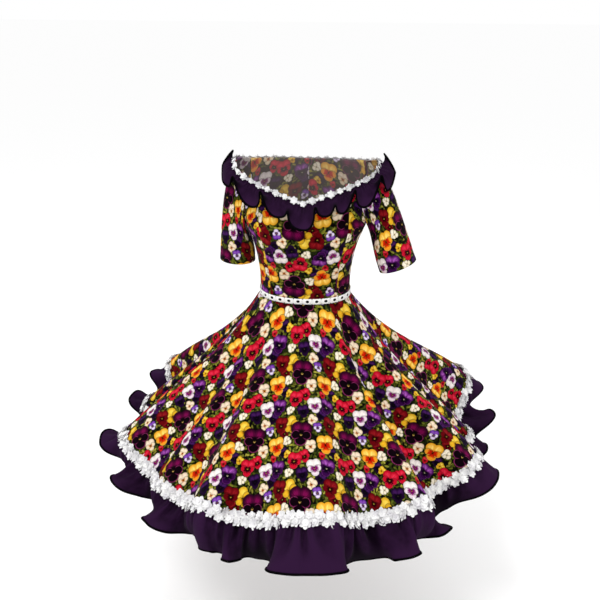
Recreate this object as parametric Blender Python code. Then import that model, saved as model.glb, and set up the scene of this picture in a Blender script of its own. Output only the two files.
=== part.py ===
"""A huasa dress in the form it is worn in: a fitted bodice with elbow sleeves and a frilled V neck,
and a full-circle skirt in deep flutes with a lace band and a gathered frill at its hem.

Metres, +Z up. The origin is the centre of the waist seam, the front faces -Y, and +X is the
wearer's left. Angles are in degrees from the centre front, positive towards +X.
"""

import math
from collections import namedtuple

import bpy
import numpy as np

# Walls and seams
CLOTH = 0.0015
FRILL_CLOTH = 0.0012
LACE_CLOTH = 0.0020
TRIM_CLOTH = 0.0010
BINDING_CLOTH = 0.0020
SEAM_GAP = 0.0003
BINDING_GAP = 0.0012
LAYER_GAP = 0.0006
NECK_GAP = 0.0012
LACE_GAP = 0.0018
LACE_SEWN_GAP = 0.0004
SHARP_ANGLE = 50.0

# Steps by which a surface's directions and lengths are measured
SMALL_ANGLE = 0.5
SMALL_HEIGHT = 0.002
LENGTH_STEPS = 181

# Bodice
SQUARENESS = 0.06
UNDERARM_HEIGHT = 0.190
NECK_POINT_HEIGHT = 0.260
FRONT_CORNER = 56.0
BACK_CORNER = 124.0
PRINCESS_TOP = 38.8
SHOULDER_SPREAD = 0.7
UNDERARM_LEAN = 0.65
CORNER_LEAN = 0.4
ARMHOLE_ROWS = 4
SIDE_SEAM_ROWS = 4
CENTRE_COLUMNS = 8
SIDE_COLUMNS = 5
BACK_COLUMNS = 8

# Sleeves: how they leave the head and reach the cuff, and the turn of the cuff at a neck corner
HEAD_FLARE = 1.3
HEAD_LEAN = 0.12
HEAD_PULL = 0.30
NECK_PULL = 0.20
CUFF_PULL = 0.45
SLEEVE_ROW_SPREAD = 1.1
FRONT_CORNER_TURN = 115.0
SLEEVE_ROWS = 5
SLEEVE_ARMHOLE_COLUMNS = 8
SLEEVE_NECK_COLUMNS = 8

# Skirt and hem frill, as lengths of cloth below the waist seam
SKIRT_CLOTH = 0.518
HEM_RADIUS = 0.549
HEM_DROP = 0.389
HEM_DROP_SLOPE = 0.75
SKIRT_SAG = 0.030
BINDING_WIDTH = 0.005
HEM_LACE_UP = 0.014
HEM_LACE_DOWN = 0.014
LACE_SCALLOP = 0.004
HEM_FLOWER_RAISE = 0.002
HEM_COLUMN = 0.036
SKIRT_ROWS = (0.0, 0.13, 0.34, 0.63, 0.963, 1.0)
FRILL_ROWS = (0.0, 0.20, 0.58, 1.0)
NEAR_HEM = 0.97
FRILL_PULL = 0.5

# Neckline trimmings
NECK_LACE_ABOVE = 0.004
NECK_LACE_BELOW = 0.009
NECK_SCALLOP = 0.0025
NECK_FLOWER_RAISE = 0.001
NECK_FLOWERS = 54
FRILL_SEAM = 0.005
FRILL_FLAT = 0.0135
FRILL_LIFT = 0.0008
FRILL_AHEAD = 0.30
FRILL_OUT = 0.32
NECK_COLUMN = 0.015
NECK_FRILL_ROWS = (0.0, 0.5, 1.0)
CLIMB_START = 12.0
CLIMB = 10.0

# Waist trim
TRIM_WIDTH = 0.012
EYELET_WIDTH = 0.006
EYELET_HEIGHT = 0.005
EYELETS_EACH_HALF = 14
RIBBON_COVER = 0.001
RIBBON_COLUMNS = 56

Ring = namedtuple("Ring", "height half_width front back")
TORSO = (
    Ring(0.000, 0.113, 0.084, 0.088),
    Ring(0.050, 0.113, 0.090, 0.090),
    Ring(0.100, 0.119, 0.106, 0.095),
    Ring(0.150, 0.131, 0.122, 0.100),
    Ring(0.190, 0.147, 0.122, 0.104),
    Ring(0.230, 0.155, 0.114, 0.107),
    Ring(0.270, 0.163, 0.106, 0.108),
    Ring(0.310, 0.168, 0.104, 0.108),
    Ring(0.345, 0.164, 0.098, 0.104),
)

NeckPoint = namedtuple("NeckPoint", "angle height")
NECKLINE = (
    NeckPoint(FRONT_CORNER, 0.313),
    NeckPoint(90.0, 0.333),
    NeckPoint(BACK_CORNER, 0.325),
    NeckPoint(180.0, 0.318),
)

SeamPoint = namedtuple("SeamPoint", "height angle")
PRINCESS_SEAM = (
    SeamPoint(0.000, 44.5),
    SeamPoint(0.100, 45.3),
    SeamPoint(0.165, 44.4),
    SeamPoint(0.235, 40.6),
    SeamPoint(0.300, PRINCESS_TOP),
)

Sleeve = namedtuple("Sleeve", "side cuff_centre tilt swing half_width half_depth")
SLEEVES = (
    Sleeve("left", (0.232, -0.020, 0.074), 16.5, 5.0, 0.046, 0.052),
    Sleeve("right", (-0.172, 0.000, 0.083), 4.0, 2.0, 0.043, 0.050),
)

# A fold's curl is its handle over its distance to the next fold: 0.4 is a plain wave, and past 1
# the cloth folds back under itself.
Fold = namedtuple("Fold", "angle radius curl")
SKIRT_FOLDS = (
    Fold(-158, 0.490, 0.60),
    Fold(-146, 0.440, 0.60),
    Fold(-138, 0.485, 0.60),
    Fold(-129, 0.440, 0.60),
    Fold(-119, 0.492, 0.60),
    Fold(-106, 0.440, 0.70),
    Fold(-95, 0.462, 0.60),
    Fold(-84, 0.435, 0.70),
    Fold(-71, 0.486, 0.60),
    Fold(-51, 0.448, 0.55),
    Fold(-42, 0.468, 0.50),
    Fold(-34, 0.455, 0.50),
    Fold(-21, 0.500, 0.50),
    Fold(-12, 0.480, 0.60),
    Fold(7, 0.512, 0.55),
    Fold(25, 0.478, 0.75),
    Fold(35, 0.502, 0.60),
    Fold(48, 0.410, 0.80),
    Fold(66, 0.485, 0.70),
    Fold(79, 0.445, 0.60),
    Fold(86, 0.456, 0.60),
    Fold(93, 0.434, 0.60),
    Fold(115, 0.512, 0.60),
    Fold(127, 0.440, 0.60),
    Fold(136, 0.485, 0.60),
    Fold(146, 0.435, 0.60),
    Fold(156, 0.490, 0.60),
    Fold(167, 0.440, 0.60),
    Fold(179, 0.495, 0.60),
    Fold(190, 0.440, 0.60),
)
HEM_FOLDS = (
    Fold(-158, 0.490, 0.62),
    Fold(-149, 0.548, 0.62),
    Fold(-140, 0.485, 0.62),
    Fold(-131, 0.550, 0.62),
    Fold(-123, 0.480, 0.62),
    Fold(-115, 0.552, 0.75),
    Fold(-109, 0.500, 0.75),
    Fold(-101, 0.538, 0.75),
    Fold(-90, 0.470, 0.80),
    Fold(-74, 0.555, 0.85),
    Fold(-65, 0.478, 0.90),
    Fold(-56, 0.543, 0.90),
    Fold(-48, 0.450, 0.90),
    Fold(-35, 0.546, 0.90),
    Fold(-28, 0.446, 0.85),
    Fold(-20, 0.525, 0.80),
    Fold(-17, 0.500, 0.70),
    Fold(-13, 0.552, 0.80),
    Fold(-10, 0.470, 0.95),
    Fold(4.5, 0.588, 1.30),
    Fold(19, 0.500, 1.00),
    Fold(27, 0.578, 0.85),
    Fold(35, 0.480, 0.90),
    Fold(41, 0.532, 0.80),
    Fold(51, 0.440, 0.80),
    Fold(67, 0.542, 0.80),
    Fold(79, 0.485, 0.70),
    Fold(85, 0.510, 0.70),
    Fold(91, 0.482, 0.70),
    Fold(98, 0.552, 0.80),
    Fold(105, 0.505, 0.75),
    Fold(112, 0.574, 0.75),
    Fold(120, 0.500, 0.62),
    Fold(128, 0.550, 0.62),
    Fold(137, 0.485, 0.62),
    Fold(146, 0.550, 0.62),
    Fold(155, 0.490, 0.62),
    Fold(165, 0.548, 0.62),
    Fold(175, 0.485, 0.62),
    Fold(184, 0.550, 0.62),
    Fold(193, 0.490, 0.62),
)

# The neck frill's edge: how far it stands out from the neckline and how far it rises or falls
Lobe = namedtuple("Lobe", "angle stand rise curl")
NECK_LOBES = (
    Lobe(-170, 0.034, -0.050, 0.80),
    Lobe(-158, 0.013, -0.038, 0.80),
    Lobe(-147, 0.034, -0.048, 0.80),
    Lobe(-136, 0.015, -0.038, 0.80),
    Lobe(-124, 0.036, -0.036, 0.80),
    Lobe(-113, 0.026, -0.026, 0.80),
    Lobe(-99, 0.014, 0.018, 0.70),
    Lobe(-79, 0.034, -0.014, 0.80),
    Lobe(-70, 0.028, -0.036, 0.80),
    Lobe(-57, 0.036, -0.046, 0.80),
    Lobe(-42, 0.012, -0.038, 0.80),
    Lobe(-22, 0.030, -0.054, 0.90),
    Lobe(-11, 0.013, -0.038, 0.90),
    Lobe(2, 0.034, -0.060, 1.00),
    Lobe(13, 0.015, -0.038, 0.90),
    Lobe(20, 0.032, -0.050, 0.75),
    Lobe(29, 0.013, -0.038, 0.80),
    Lobe(37, 0.028, -0.048, 0.70),
    Lobe(47, 0.012, -0.038, 0.80),
    Lobe(63, 0.042, -0.050, 0.80),
    Lobe(73, 0.032, -0.036, 0.80),
    Lobe(84, 0.042, -0.012, 0.80),
    Lobe(99, 0.016, 0.018, 0.70),
    Lobe(113, 0.034, -0.026, 0.80),
    Lobe(124, 0.036, -0.036, 0.80),
    Lobe(136, 0.015, -0.038, 0.80),
    Lobe(147, 0.034, -0.048, 0.80),
    Lobe(158, 0.013, -0.038, 0.80),
    Lobe(169, 0.034, -0.050, 0.80),
    Lobe(180, 0.013, -0.038, 0.80),
)

Finish = namedtuple("Finish", "name color roughness")
PRINT = Finish("print_cloth", (0.20, 0.05, 0.07, 1.0), 0.7)
PURPLE = Finish("frill_cloth", (0.032, 0.010, 0.052, 1.0), 0.6)
BINDING = Finish("binding", (0.006, 0.005, 0.007, 1.0), 0.55)
RIBBON = Finish("ribbon", (0.006, 0.005, 0.007, 1.0), 0.55)
LACE = Finish("lace", (0.80, 0.80, 0.79, 1.0), 0.8)
TRIM = Finish("trim", (0.80, 0.80, 0.79, 1.0), 0.8)


# Small geometry helpers

def unit(vectors):
    return vectors / np.linalg.norm(vectors, axis=-1, keepdims=True)


def smooth_step(x):
    x = np.clip(x, 0.0, 1.0)
    return x * x * (3.0 - 2.0 * x)


def through(places, values, at):
    """A smooth curve through (place, value) pairs, read at any array of places."""
    places = np.asarray(places, float)
    values = np.asarray(values, float)
    slopes = np.gradient(values, places)
    at = np.asarray(at, float)
    i = np.clip(np.searchsorted(places, at, side="right") - 1, 0, len(places) - 2)
    step = places[i + 1] - places[i]
    t = (at - places[i]) / step
    return (
        (2 * t**3 - 3 * t**2 + 1) * values[i]
        + (t**3 - 2 * t**2 + t) * step * slopes[i]
        + (3 * t**2 - 2 * t**3) * values[i + 1]
        + (t**3 - t**2) * step * slopes[i + 1]
    )


def bezier(points, t):
    """A Bezier curve of any degree, by repeated halving between its points."""
    points = [np.asarray(p, float) for p in points]
    while len(points) > 1:
        points = [a + (b - a) * t for a, b in zip(points, points[1:])]
    return points[0]


def along(points, fractions):
    """Points at fractions of the length of a polyline."""
    run = np.concatenate([[0.0], np.cumsum(np.linalg.norm(np.diff(points, axis=0), axis=1))])
    at = np.asarray(fractions) * run[-1]
    return np.stack([np.interp(at, run, points[:, k]) for k in range(points.shape[1])], -1)


def length_fractions(points):
    run = np.concatenate([[0.0], np.cumsum(np.linalg.norm(np.diff(points, axis=0), axis=1))])
    return run / run[-1]


def wrapped(angle):
    return (np.asarray(angle, float) + 180.0) % 360.0 - 180.0


# Torso surface

def torso(angle, height):
    """The cloth's inner face on the figure."""
    angle, height = np.broadcast_arrays(np.asarray(angle, float), np.asarray(height, float))
    heights = [ring.height for ring in TORSO]
    width = through(heights, [ring.half_width for ring in TORSO], height)
    front = through(heights, [ring.front for ring in TORSO], height)
    back = through(heights, [ring.back for ring in TORSO], height)
    a = np.radians(angle)
    depth = np.where(np.cos(a) > 0, front, back)
    x = width * np.sin(a) * (1 + SQUARENESS * np.cos(a) ** 2)
    y = -depth * np.cos(a) * (1 + SQUARENESS * np.sin(a) ** 2)
    return np.stack([x, y, height], -1)


def torso_out(angle, height):
    around = torso(angle + SMALL_ANGLE, height) - torso(angle - SMALL_ANGLE, height)
    up = torso(angle, height + SMALL_HEIGHT) - torso(angle, height - SMALL_HEIGHT)
    return unit(np.cross(around, up))


def neck_height(angle):
    """The neckline: straight lines from the V's point to the front corners, then round the back."""
    a = np.abs(wrapped(angle))
    corner = NECKLINE[0]
    before = np.radians(np.minimum(a, corner.angle))
    share = np.sin(before) / math.sin(math.radians(corner.angle))
    front = NECK_POINT_HEIGHT + (corner.height - NECK_POINT_HEIGHT) * share
    beyond = np.maximum(a, corner.angle)
    rest = through([p.angle for p in NECKLINE], [p.height for p in NECKLINE], beyond)
    return np.where(a < corner.angle, front, rest)


def princess_angle(height):
    return through([p.height for p in PRINCESS_SEAM], [p.angle for p in PRINCESS_SEAM], height)


def armhole(corner, q):
    """(angle, height) along one half of the armhole, from the underarm to its corner at the neck."""
    lean = (corner - 90.0) * UNDERARM_LEAN
    top = float(neck_height(corner))
    points = (
        (90.0, UNDERARM_HEIGHT),
        (90.0 + lean, UNDERARM_HEIGHT),
        (corner, UNDERARM_HEIGHT + CORNER_LEAN * (top - UNDERARM_HEIGHT)),
        (corner, top),
    )
    return bezier(points, np.asarray(q, float)[..., None])


def panel_rows():
    """Fractions of a panel's height: even rows up the side seam, then even rows up the armhole."""
    split = UNDERARM_HEIGHT / float(neck_height(PRINCESS_TOP))
    lower = np.linspace(0.0, split, SIDE_SEAM_ROWS + 1)
    upper = np.linspace(split, 1.0, ARMHOLE_ROWS + 1)
    return split, np.concatenate([lower, upper[1:]])


def outer_edge(corner, split, v):
    """(angle, height) up the side seam and then up the armhole."""
    side = np.stack([np.full_like(v, 90.0), UNDERARM_HEIGHT * v / split], -1)
    hole = armhole(corner, np.clip((v - split) / (1.0 - split), 0.0, 1.0))
    return np.where((v <= split)[:, None], side, hole)


def panel(inner, outer, v, columns):
    """(angle, height) grid between two edges, whose last row lies on the neckline."""
    u = np.linspace(0.0, 1.0, columns + 1)[None, :, None]
    grid = inner[:, None] * (1 - u) + outer[:, None] * u
    lift = neck_height(grid[-1, :, 0]) - grid[-1, :, 1]
    grid[..., 1] += v[:, None] * lift[None, :]
    return grid


# Walls

def mesh_object(name, points, faces, finish):
    mesh = bpy.data.meshes.new(name)
    mesh.from_pydata([tuple(p) for p in points], [], faces)
    mesh.validate()
    mesh.shade_smooth()
    mesh.set_sharp_from_angle(angle=math.radians(SHARP_ANGLE))
    mesh.materials.append(bpy.data.materials.get(finish.name) or new_material(finish))
    obj = bpy.data.objects.new(name, mesh)
    bpy.context.collection.objects.link(obj)
    return obj


def new_material(finish):
    material = bpy.data.materials.new(finish.name)
    material.use_nodes = True
    shader = material.node_tree.nodes["Principled BSDF"]
    shader.inputs["Base Color"].default_value = finish.color
    shader.inputs["Roughness"].default_value = finish.roughness
    shader.inputs["Metallic"].default_value = 0.0
    return material


def grid_out(grid, closed):
    """Outward directions of a grid whose rows run down or out and whose columns run round."""
    if closed:
        round_it = np.roll(grid, -1, axis=1) - np.roll(grid, 1, axis=1)
    else:
        round_it = np.gradient(grid, axis=1)
    down = np.gradient(grid, axis=0)
    return unit(np.cross(down, round_it))


def narrowed(grid, first_row=0.0, last_row=0.0, first_column=0.0, last_column=0.0):
    """The grid with its edges drawn in, which leaves the gap of a seam."""
    grid = grid.copy()
    if first_column:
        grid[:, 0] += first_column * unit(grid[:, 1] - grid[:, 0])
    if last_column:
        grid[:, -1] += last_column * unit(grid[:, -2] - grid[:, -1])
    if first_row:
        grid[0] += first_row * unit(grid[1] - grid[0])
    if last_row:
        grid[-1] += last_row * unit(grid[-2] - grid[-1])
    return grid


def halves(quad, points):
    """The two triangles of a quad, split along its shorter diagonal."""
    a, b, c, d = quad
    if np.linalg.norm(points[a] - points[c]) <= np.linalg.norm(points[b] - points[d]):
        return [[a, b, c], [a, c, d]]
    return [[a, b, d], [b, c, d]]


def wall(name, inner, outer, finish, closed=False, holes=()):
    """A closed wall between two grids; holes lists the cells that are cut through."""
    rows, columns = inner.shape[:2]
    count = rows * columns
    points = np.concatenate([inner.reshape(-1, 3), outer.reshape(-1, 3)])
    cells = columns if closed else columns - 1
    cut = set(holes)
    faces = []

    def at(r, c, side):
        return side * count + r * columns + c % columns

    def solid(r, c):
        if closed:
            c %= columns
        return 0 <= r < rows - 1 and 0 <= c < cells and (r, c) not in cut

    for r in range(rows - 1):
        for c in range(cells):
            if not solid(r, c):
                continue
            corners = ((r, c), (r, c + 1), (r + 1, c + 1), (r + 1, c))
            for split in halves([at(*p, 0) for p in corners], points):
                faces.append([corner + count for corner in split[::-1]])
                faces.append(split)
            neighbours = ((r - 1, c), (r, c + 1), (r + 1, c), (r, c - 1))
            for k, beside in enumerate(neighbours):
                if not solid(*beside):
                    a = corners[k]
                    b = corners[(k + 1) % 4]
                    faces.append([at(*b, 0), at(*a, 0), at(*a, 1), at(*b, 1)])
    used = sorted({i for face in faces for i in face})
    place = {old: new for new, old in enumerate(used)}
    faces = [[place[i] for i in face] for face in faces]
    return mesh_object(name, points[used], faces, finish)


def thick(name, grid, out, cloth, finish, closed=False, holes=()):
    return wall(name, grid, grid + out * cloth, finish, closed, holes)


# Bodice

def torso_wall(name, angle_height, flip):
    if flip:
        angle_height = angle_height[:, ::-1] * np.array([-1.0, 1.0])
    angle, height = angle_height[..., 0], angle_height[..., 1]
    half = SEAM_GAP / 2
    grid = torso(angle, height)
    grid = narrowed(grid, first_column=half, last_column=half)
    thick(name, grid[::-1], torso_out(angle, height)[::-1], CLOTH, PRINT)


def make_bodice():
    split, v = panel_rows()
    princess_height = v * float(neck_height(PRINCESS_TOP))
    princess = np.stack([princess_angle(princess_height), princess_height], -1)
    centre = panel(princess * [-1.0, 1.0], princess, v, CENTRE_COLUMNS)
    torso_wall("bodice_front_centre", centre, False)
    side = panel(princess, outer_edge(FRONT_CORNER, split, v), v, SIDE_COLUMNS)
    back_height = v * float(neck_height(180.0))
    centre_back = np.stack([np.full_like(v, 180.0), back_height], -1)
    back = panel(outer_edge(BACK_CORNER, split, v), centre_back, v, BACK_COLUMNS)
    for side_name, flip in (("left", False), ("right", True)):
        torso_wall(f"bodice_front_side_{side_name}", side, flip)
        torso_wall(f"bodice_back_{side_name}", back, flip)


# The strip of cloth next to the neckline, which carries the frill and the lace

def over_sleeve(angle):
    """How far the sleeve's laid-on edge lifts the trimmings, from nothing to a whole layer."""
    a = np.abs(wrapped(angle))
    front = smooth_step((a - FRONT_CORNER + CLIMB_START) / CLIMB)
    back = smooth_step((BACK_CORNER + CLIMB_START - a) / CLIMB)
    return (CLOTH + SEAM_GAP) * front * back


def neck_frame(angle):
    """Edge point, the cloth's direction away from the edge, and the outward direction."""
    height = neck_height(angle)
    edge = torso(angle, height)
    ahead = torso(angle + SMALL_ANGLE, neck_height(angle + SMALL_ANGLE))
    behind = torso(angle - SMALL_ANGLE, neck_height(angle - SMALL_ANGLE))
    fall = unit(edge - torso(angle, height + SMALL_HEIGHT))
    level = unit(torso_out(angle, height) * [1.0, 1.0, 0.0])
    a = np.abs(wrapped(angle))
    span = BACK_CORNER - FRONT_CORNER
    share = np.clip((a - FRONT_CORNER) / span, 0.0, 1.0)
    spread = np.sin(np.pi * share)[..., None] ** 2
    away = unit(fall + spread * level * SHOULDER_SPREAD)
    out = unit(np.cross(away, ahead - behind))
    return edge, away, out


def neck_band(angle, down, off):
    """Points on the strip of cloth next to the neckline, some way down it and some way off it."""
    edge, away, out = neck_frame(angle)
    down = np.asarray(down, float)[..., None]
    off = (off + over_sleeve(angle))[..., None]
    return edge + away * down + out * off


# Sleeves

def sleeve_head():
    """The head's loop from the underarm forward: (angle, height), on the neckline or not, and
    how far up the armhole."""
    q = np.linspace(0.0, 1.0, SLEEVE_ARMHOLE_COLUMNS + 1)
    front = armhole(FRONT_CORNER, q)
    back = armhole(BACK_CORNER, q)[::-1]
    angles = np.linspace(FRONT_CORNER, BACK_CORNER, SLEEVE_NECK_COLUMNS + 1)[1:-1]
    neck = np.stack([angles, neck_height(angles)], -1)
    loop = np.concatenate([front, neck, back[:-1]])
    columns = np.arange(len(loop))
    last_on_neck = SLEEVE_ARMHOLE_COLUMNS + SLEEVE_NECK_COLUMNS
    on_neck = (columns >= SLEEVE_ARMHOLE_COLUMNS) & (columns <= last_on_neck)
    climb = np.concatenate([q, np.ones(SLEEVE_NECK_COLUMNS - 1), q[::-1][:-1]])
    return loop, on_neck[:, None], climb[:, None]


def sleeve_turns():
    """Where each column of the head's loop meets the cuff, as a turn from the underarm."""
    corners = np.cumsum([0, SLEEVE_ARMHOLE_COLUMNS, SLEEVE_NECK_COLUMNS, SLEEVE_ARMHOLE_COLUMNS])
    turns = (0.0, FRONT_CORNER_TURN, 360.0 - FRONT_CORNER_TURN, 360.0)
    return np.radians(np.interp(np.arange(corners[-1]), corners, turns))[:, None]


def sleeve_surface(sleeve):
    """The sleeve's inner face, from its head to its cuff, and its outward directions. It is laid
    out as a left sleeve and mirrored for the right."""
    loop, on_neck, climb = sleeve_head()
    angle, height = loop[:, 0], loop[:, 1]
    away, neck_out = neck_frame(angle)[1:]
    surface_out = torso_out(angle, height)
    head_out = np.where(on_neck, neck_out, surface_out)
    head = torso(angle, height) + head_out * (CLOTH + SEAM_GAP)

    tilt = math.radians(sleeve.tilt)
    swing = math.radians(sleeve.swing)
    down = unit(np.array([math.sin(tilt), -math.sin(swing), -math.cos(tilt)]))
    side = unit(np.cross([0.0, 1.0, 0.0], -down))
    fore = np.cross(down, side)
    turn = sleeve_turns()
    centre = np.abs(sleeve.cuff_centre) * [1.0, np.sign(sleeve.cuff_centre[1]), 1.0]
    cuff = centre - np.cos(turn) * side * sleeve.half_width + np.sin(turn) * fore * sleeve.half_depth

    sideways = unit(np.cross(surface_out, np.roll(head, -1, 0) - np.roll(head, 1, 0)))
    sideways = sideways * np.where(sideways[:, :1] < 0, -1.0, 1.0)
    leave = unit(down + HEAD_FLARE * sideways * climb**2 + HEAD_LEAN * surface_out)
    leave = np.where(on_neck, away, leave)
    reach = np.linalg.norm(cuff - head, axis=1)[:, None]
    middle = head + leave * reach * np.where(on_neck, NECK_PULL, HEAD_PULL)
    lower = cuff - down * reach * CUFF_PULL
    t = np.linspace(0.0, 1.0, SLEEVE_ROWS + 1)[:, None, None] ** SLEEVE_ROW_SPREAD
    grid = bezier((head, middle, lower, cuff), t)
    out = grid_out(grid, True)
    out[0] = head_out
    if sleeve.side == "right":
        grid = grid[:, ::-1] * [-1.0, 1.0, 1.0]
        out = out[:, ::-1] * [-1.0, 1.0, 1.0]
    return grid, out


def make_sleeve(sleeve):
    grid, out = sleeve_surface(sleeve)
    thick(f"sleeve_{sleeve.side}", grid, out, CLOTH, PRINT, closed=True)


# Skirt and hem frill

def fold_plan(folds, angle):
    """Plan points of the closed curve through the folds, at station angles."""
    first = folds[0].angle
    angle = (np.asarray(angle, float) - first) % 360.0 + first
    knots = np.array([fold.angle for fold in folds] + [first + 360.0])
    radius = np.array([fold.radius for fold in folds] + [folds[0].radius])
    curl = np.array([fold.curl for fold in folds] + [folds[0].curl])
    i = np.clip(np.searchsorted(knots, angle, side="right") - 1, 0, len(folds) - 1)
    t = ((angle - knots[i]) / (knots[i + 1] - knots[i]))[..., None]
    k = np.radians(knots)
    point = np.stack([radius * np.sin(k), -radius * np.cos(k)], -1)
    tangent = np.stack([np.cos(k), np.sin(k)], -1)
    gap = (radius[i] + radius[i + 1]) / 2 * (k[i + 1] - k[i])
    return bezier(
        (
            point[i],
            point[i] + tangent[i] * (curl[i] * gap)[..., None],
            point[i + 1] - tangent[i + 1] * (curl[i + 1] * gap)[..., None],
            point[i + 1],
        ),
        t,
    )


def waist_plan(fractions, half):
    """Plan points of the waist at fractions of the front (half 0) or back (half 1) waist."""
    angles = np.linspace(-90.0, 90.0, LENGTH_STEPS) + 180.0 * half
    return along(torso(angles, 0.0)[:, :2], fractions)


def skirt_lines(stations):
    """For each station: the waist point, the skirt's lower edge and the frill's edge."""
    fine = np.linspace(-90.0, 270.0, 40 * LENGTH_STEPS)
    plan = fold_plan(SKIRT_FOLDS, fine)
    waist = np.empty((len(stations), 2))
    for half in (0, 1):
        part = (fine >= -90.0 + 180.0 * half) & (fine <= 90.0 + 180.0 * half)
        share = length_fractions(plan[part])
        inside = (stations >= -90.0 + 180.0 * half) & (stations <= 90.0 + 180.0 * half)
        waist[inside] = waist_plan(np.interp(stations[inside], fine[part], share), half)

    top = np.column_stack([waist, np.full(len(stations), -SEAM_GAP)])
    edge = fold_plan(SKIRT_FOLDS, stations)
    across = np.linalg.norm(edge - waist, axis=1)
    edge = np.column_stack([edge, -np.sqrt(SKIRT_CLOTH**2 - across**2)])
    hem = fold_plan(HEM_FOLDS, stations)
    hem = hem - unit(hem) * BINDING_WIDTH
    pulled_in = HEM_RADIUS - np.linalg.norm(hem, axis=1)
    hem = np.column_stack([hem, -HEM_DROP - HEM_DROP_SLOPE * pulled_in])
    return top, edge, hem


def skirt_grid(stations, t):
    top, edge, _ = skirt_lines(stations)
    t = np.asarray(t, float)[:, None, None]
    deepest = 4 / 27
    sag = t * (1 - t) ** 2 / deepest * SKIRT_SAG
    return top + (edge - top) * t - sag * np.array([0.0, 0.0, 1.0])


def frill_grid(stations, t):
    """The hem frill leaves along the skirt's slope and bends down to its own edge."""
    _, edge, hem = skirt_lines(stations)
    before = skirt_grid(stations, [NEAR_HEM])[0]
    reach = np.linalg.norm(hem - edge, axis=1)[:, None]
    middle = edge + unit(edge - before) * reach * FRILL_PULL
    t = np.asarray(t, float)[:, None, None]
    return bezier((edge, middle, hem), t)


def hem_stations():
    """Station angles: every fold of skirt and frill, with even columns of cloth in between."""
    marks = {(fold.angle + 90.0) % 360.0 - 90.0 for fold in SKIRT_FOLDS + HEM_FOLDS}
    marks = sorted(marks | {-90.0, 90.0, 270.0})
    stations = []
    for a, b in zip(marks, marks[1:]):
        line = fold_plan(HEM_FOLDS, np.linspace(a, b, LENGTH_STEPS))
        run = np.linalg.norm(np.diff(line, axis=0), axis=1).sum()
        pieces = max(1, round(run / HEM_COLUMN))
        stations += list(np.linspace(a, b, pieces + 1)[:-1])
    return np.array(stations)


def make_skirt(stations, grid, out):
    half = SEAM_GAP / 2
    back_start = int(np.argmin(np.abs(stations - 90.0)))
    round_again = np.concatenate([np.arange(back_start, len(stations)), [0]])
    for name, columns in (("skirt_front", np.arange(back_start + 1)), ("skirt_back", round_again)):
        piece = narrowed(grid[:, columns], last_row=half, first_column=half, last_column=half)
        thick(name, piece, out[:, columns], CLOTH, PRINT)


def make_hem(stations, skirt, skirt_out):
    frill = frill_grid(stations, FRILL_ROWS)
    out = grid_out(frill, True)
    out[0] = skirt_out[-1]
    edge_out = out[-1]
    body = narrowed(frill, first_row=SEAM_GAP / 2)
    thick("hem_ruffle", body, out, FRILL_CLOTH, PURPLE, closed=True)
    make_binding("hem_ruffle_binding", body, edge_out)
    make_hem_lace(skirt, skirt_out, body, out)


def make_binding(name, frill, out):
    """A folded strip round a frill's edge, thicker than the frill itself."""
    edge = frill[-1]
    round_it = unit(np.roll(edge, -1, axis=0) - np.roll(edge, 1, axis=0))
    ahead = np.cross(round_it, out)
    start = frill[-1] + ahead * BINDING_GAP
    strip = np.stack([start, start + ahead * BINDING_WIDTH])
    strip = strip - out * (BINDING_CLOTH - FRILL_CLOTH) / 2
    thick(name, strip, np.stack([out, out]), BINDING_CLOTH, BINDING, closed=True)


def between(a, b, share):
    return a + (b - a) * share


def lace_row(seam, beyond, seam_out, beyond_out, reach, scallop):
    """A row of the lace: twice as many points as columns, every second one further out."""
    depth = np.linalg.norm(beyond - seam, axis=1)
    points = []
    outs = []
    for step, short in ((0.0, scallop), (0.5, 0.0)):
        share = ((reach - short) / depth)[:, None]
        line = between(seam, beyond, share)
        tilt = between(seam_out, beyond_out, share)
        points.append(between(line, np.roll(line, -1, axis=0), step))
        outs.append(unit(between(tilt, np.roll(tilt, -1, axis=0), step)))
    return np.stack(points, 1).reshape(-1, 3), np.stack(outs, 1).reshape(-1, 3)


def make_hem_lace(skirt, skirt_out, frill, frill_out):
    """A scalloped band over the seam of skirt and frill, with a raised flower for each column."""
    seam = skirt[-1] + skirt_out[-1] * CLOTH
    above = skirt[-2] + skirt_out[-2] * CLOTH
    below = frill[1] + frill_out[1] * FRILL_CLOTH
    up = (seam, above, skirt_out[-1], skirt_out[-2])
    down = (seam, below, skirt_out[-1], frill_out[1])
    rows = (
        lace_row(*up, HEM_LACE_UP, LACE_SCALLOP),
        lace_row(*up, 0.0, 0.0),
        lace_row(*down, HEM_LACE_DOWN, LACE_SCALLOP),
    )
    out = np.stack([row[1] for row in rows])
    gap = np.array([LACE_GAP, LACE_SEWN_GAP, LACE_GAP])[:, None, None]
    inner = np.stack([row[0] for row in rows]) + out * gap
    cloth = np.full(out.shape[:2] + (1,), LACE_CLOTH)
    cloth[1, 1::2] += HEM_FLOWER_RAISE
    thick("hem_lace", inner, out, cloth, LACE, closed=True)


# Neck frill and lace

def neck_lobe_points(lobes, knots):
    """Each lobe's point: down the body or up from the seam, then out level."""
    height = neck_height(knots)
    level = unit(torso_out(knots, height) * [1.0, 1.0, 0.0])
    stand = np.array([lobe.stand for lobe in lobes])[:, None]
    rise = np.array([lobe.rise for lobe in lobes])
    fall = np.minimum(rise, 0.0)
    body = torso(knots, height + fall) - torso(knots, height)
    up = np.outer(rise - fall, [0.0, 0.0, 1.0])
    return neck_band(knots, FRILL_SEAM, 0.0) + body + level * stand + up


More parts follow.
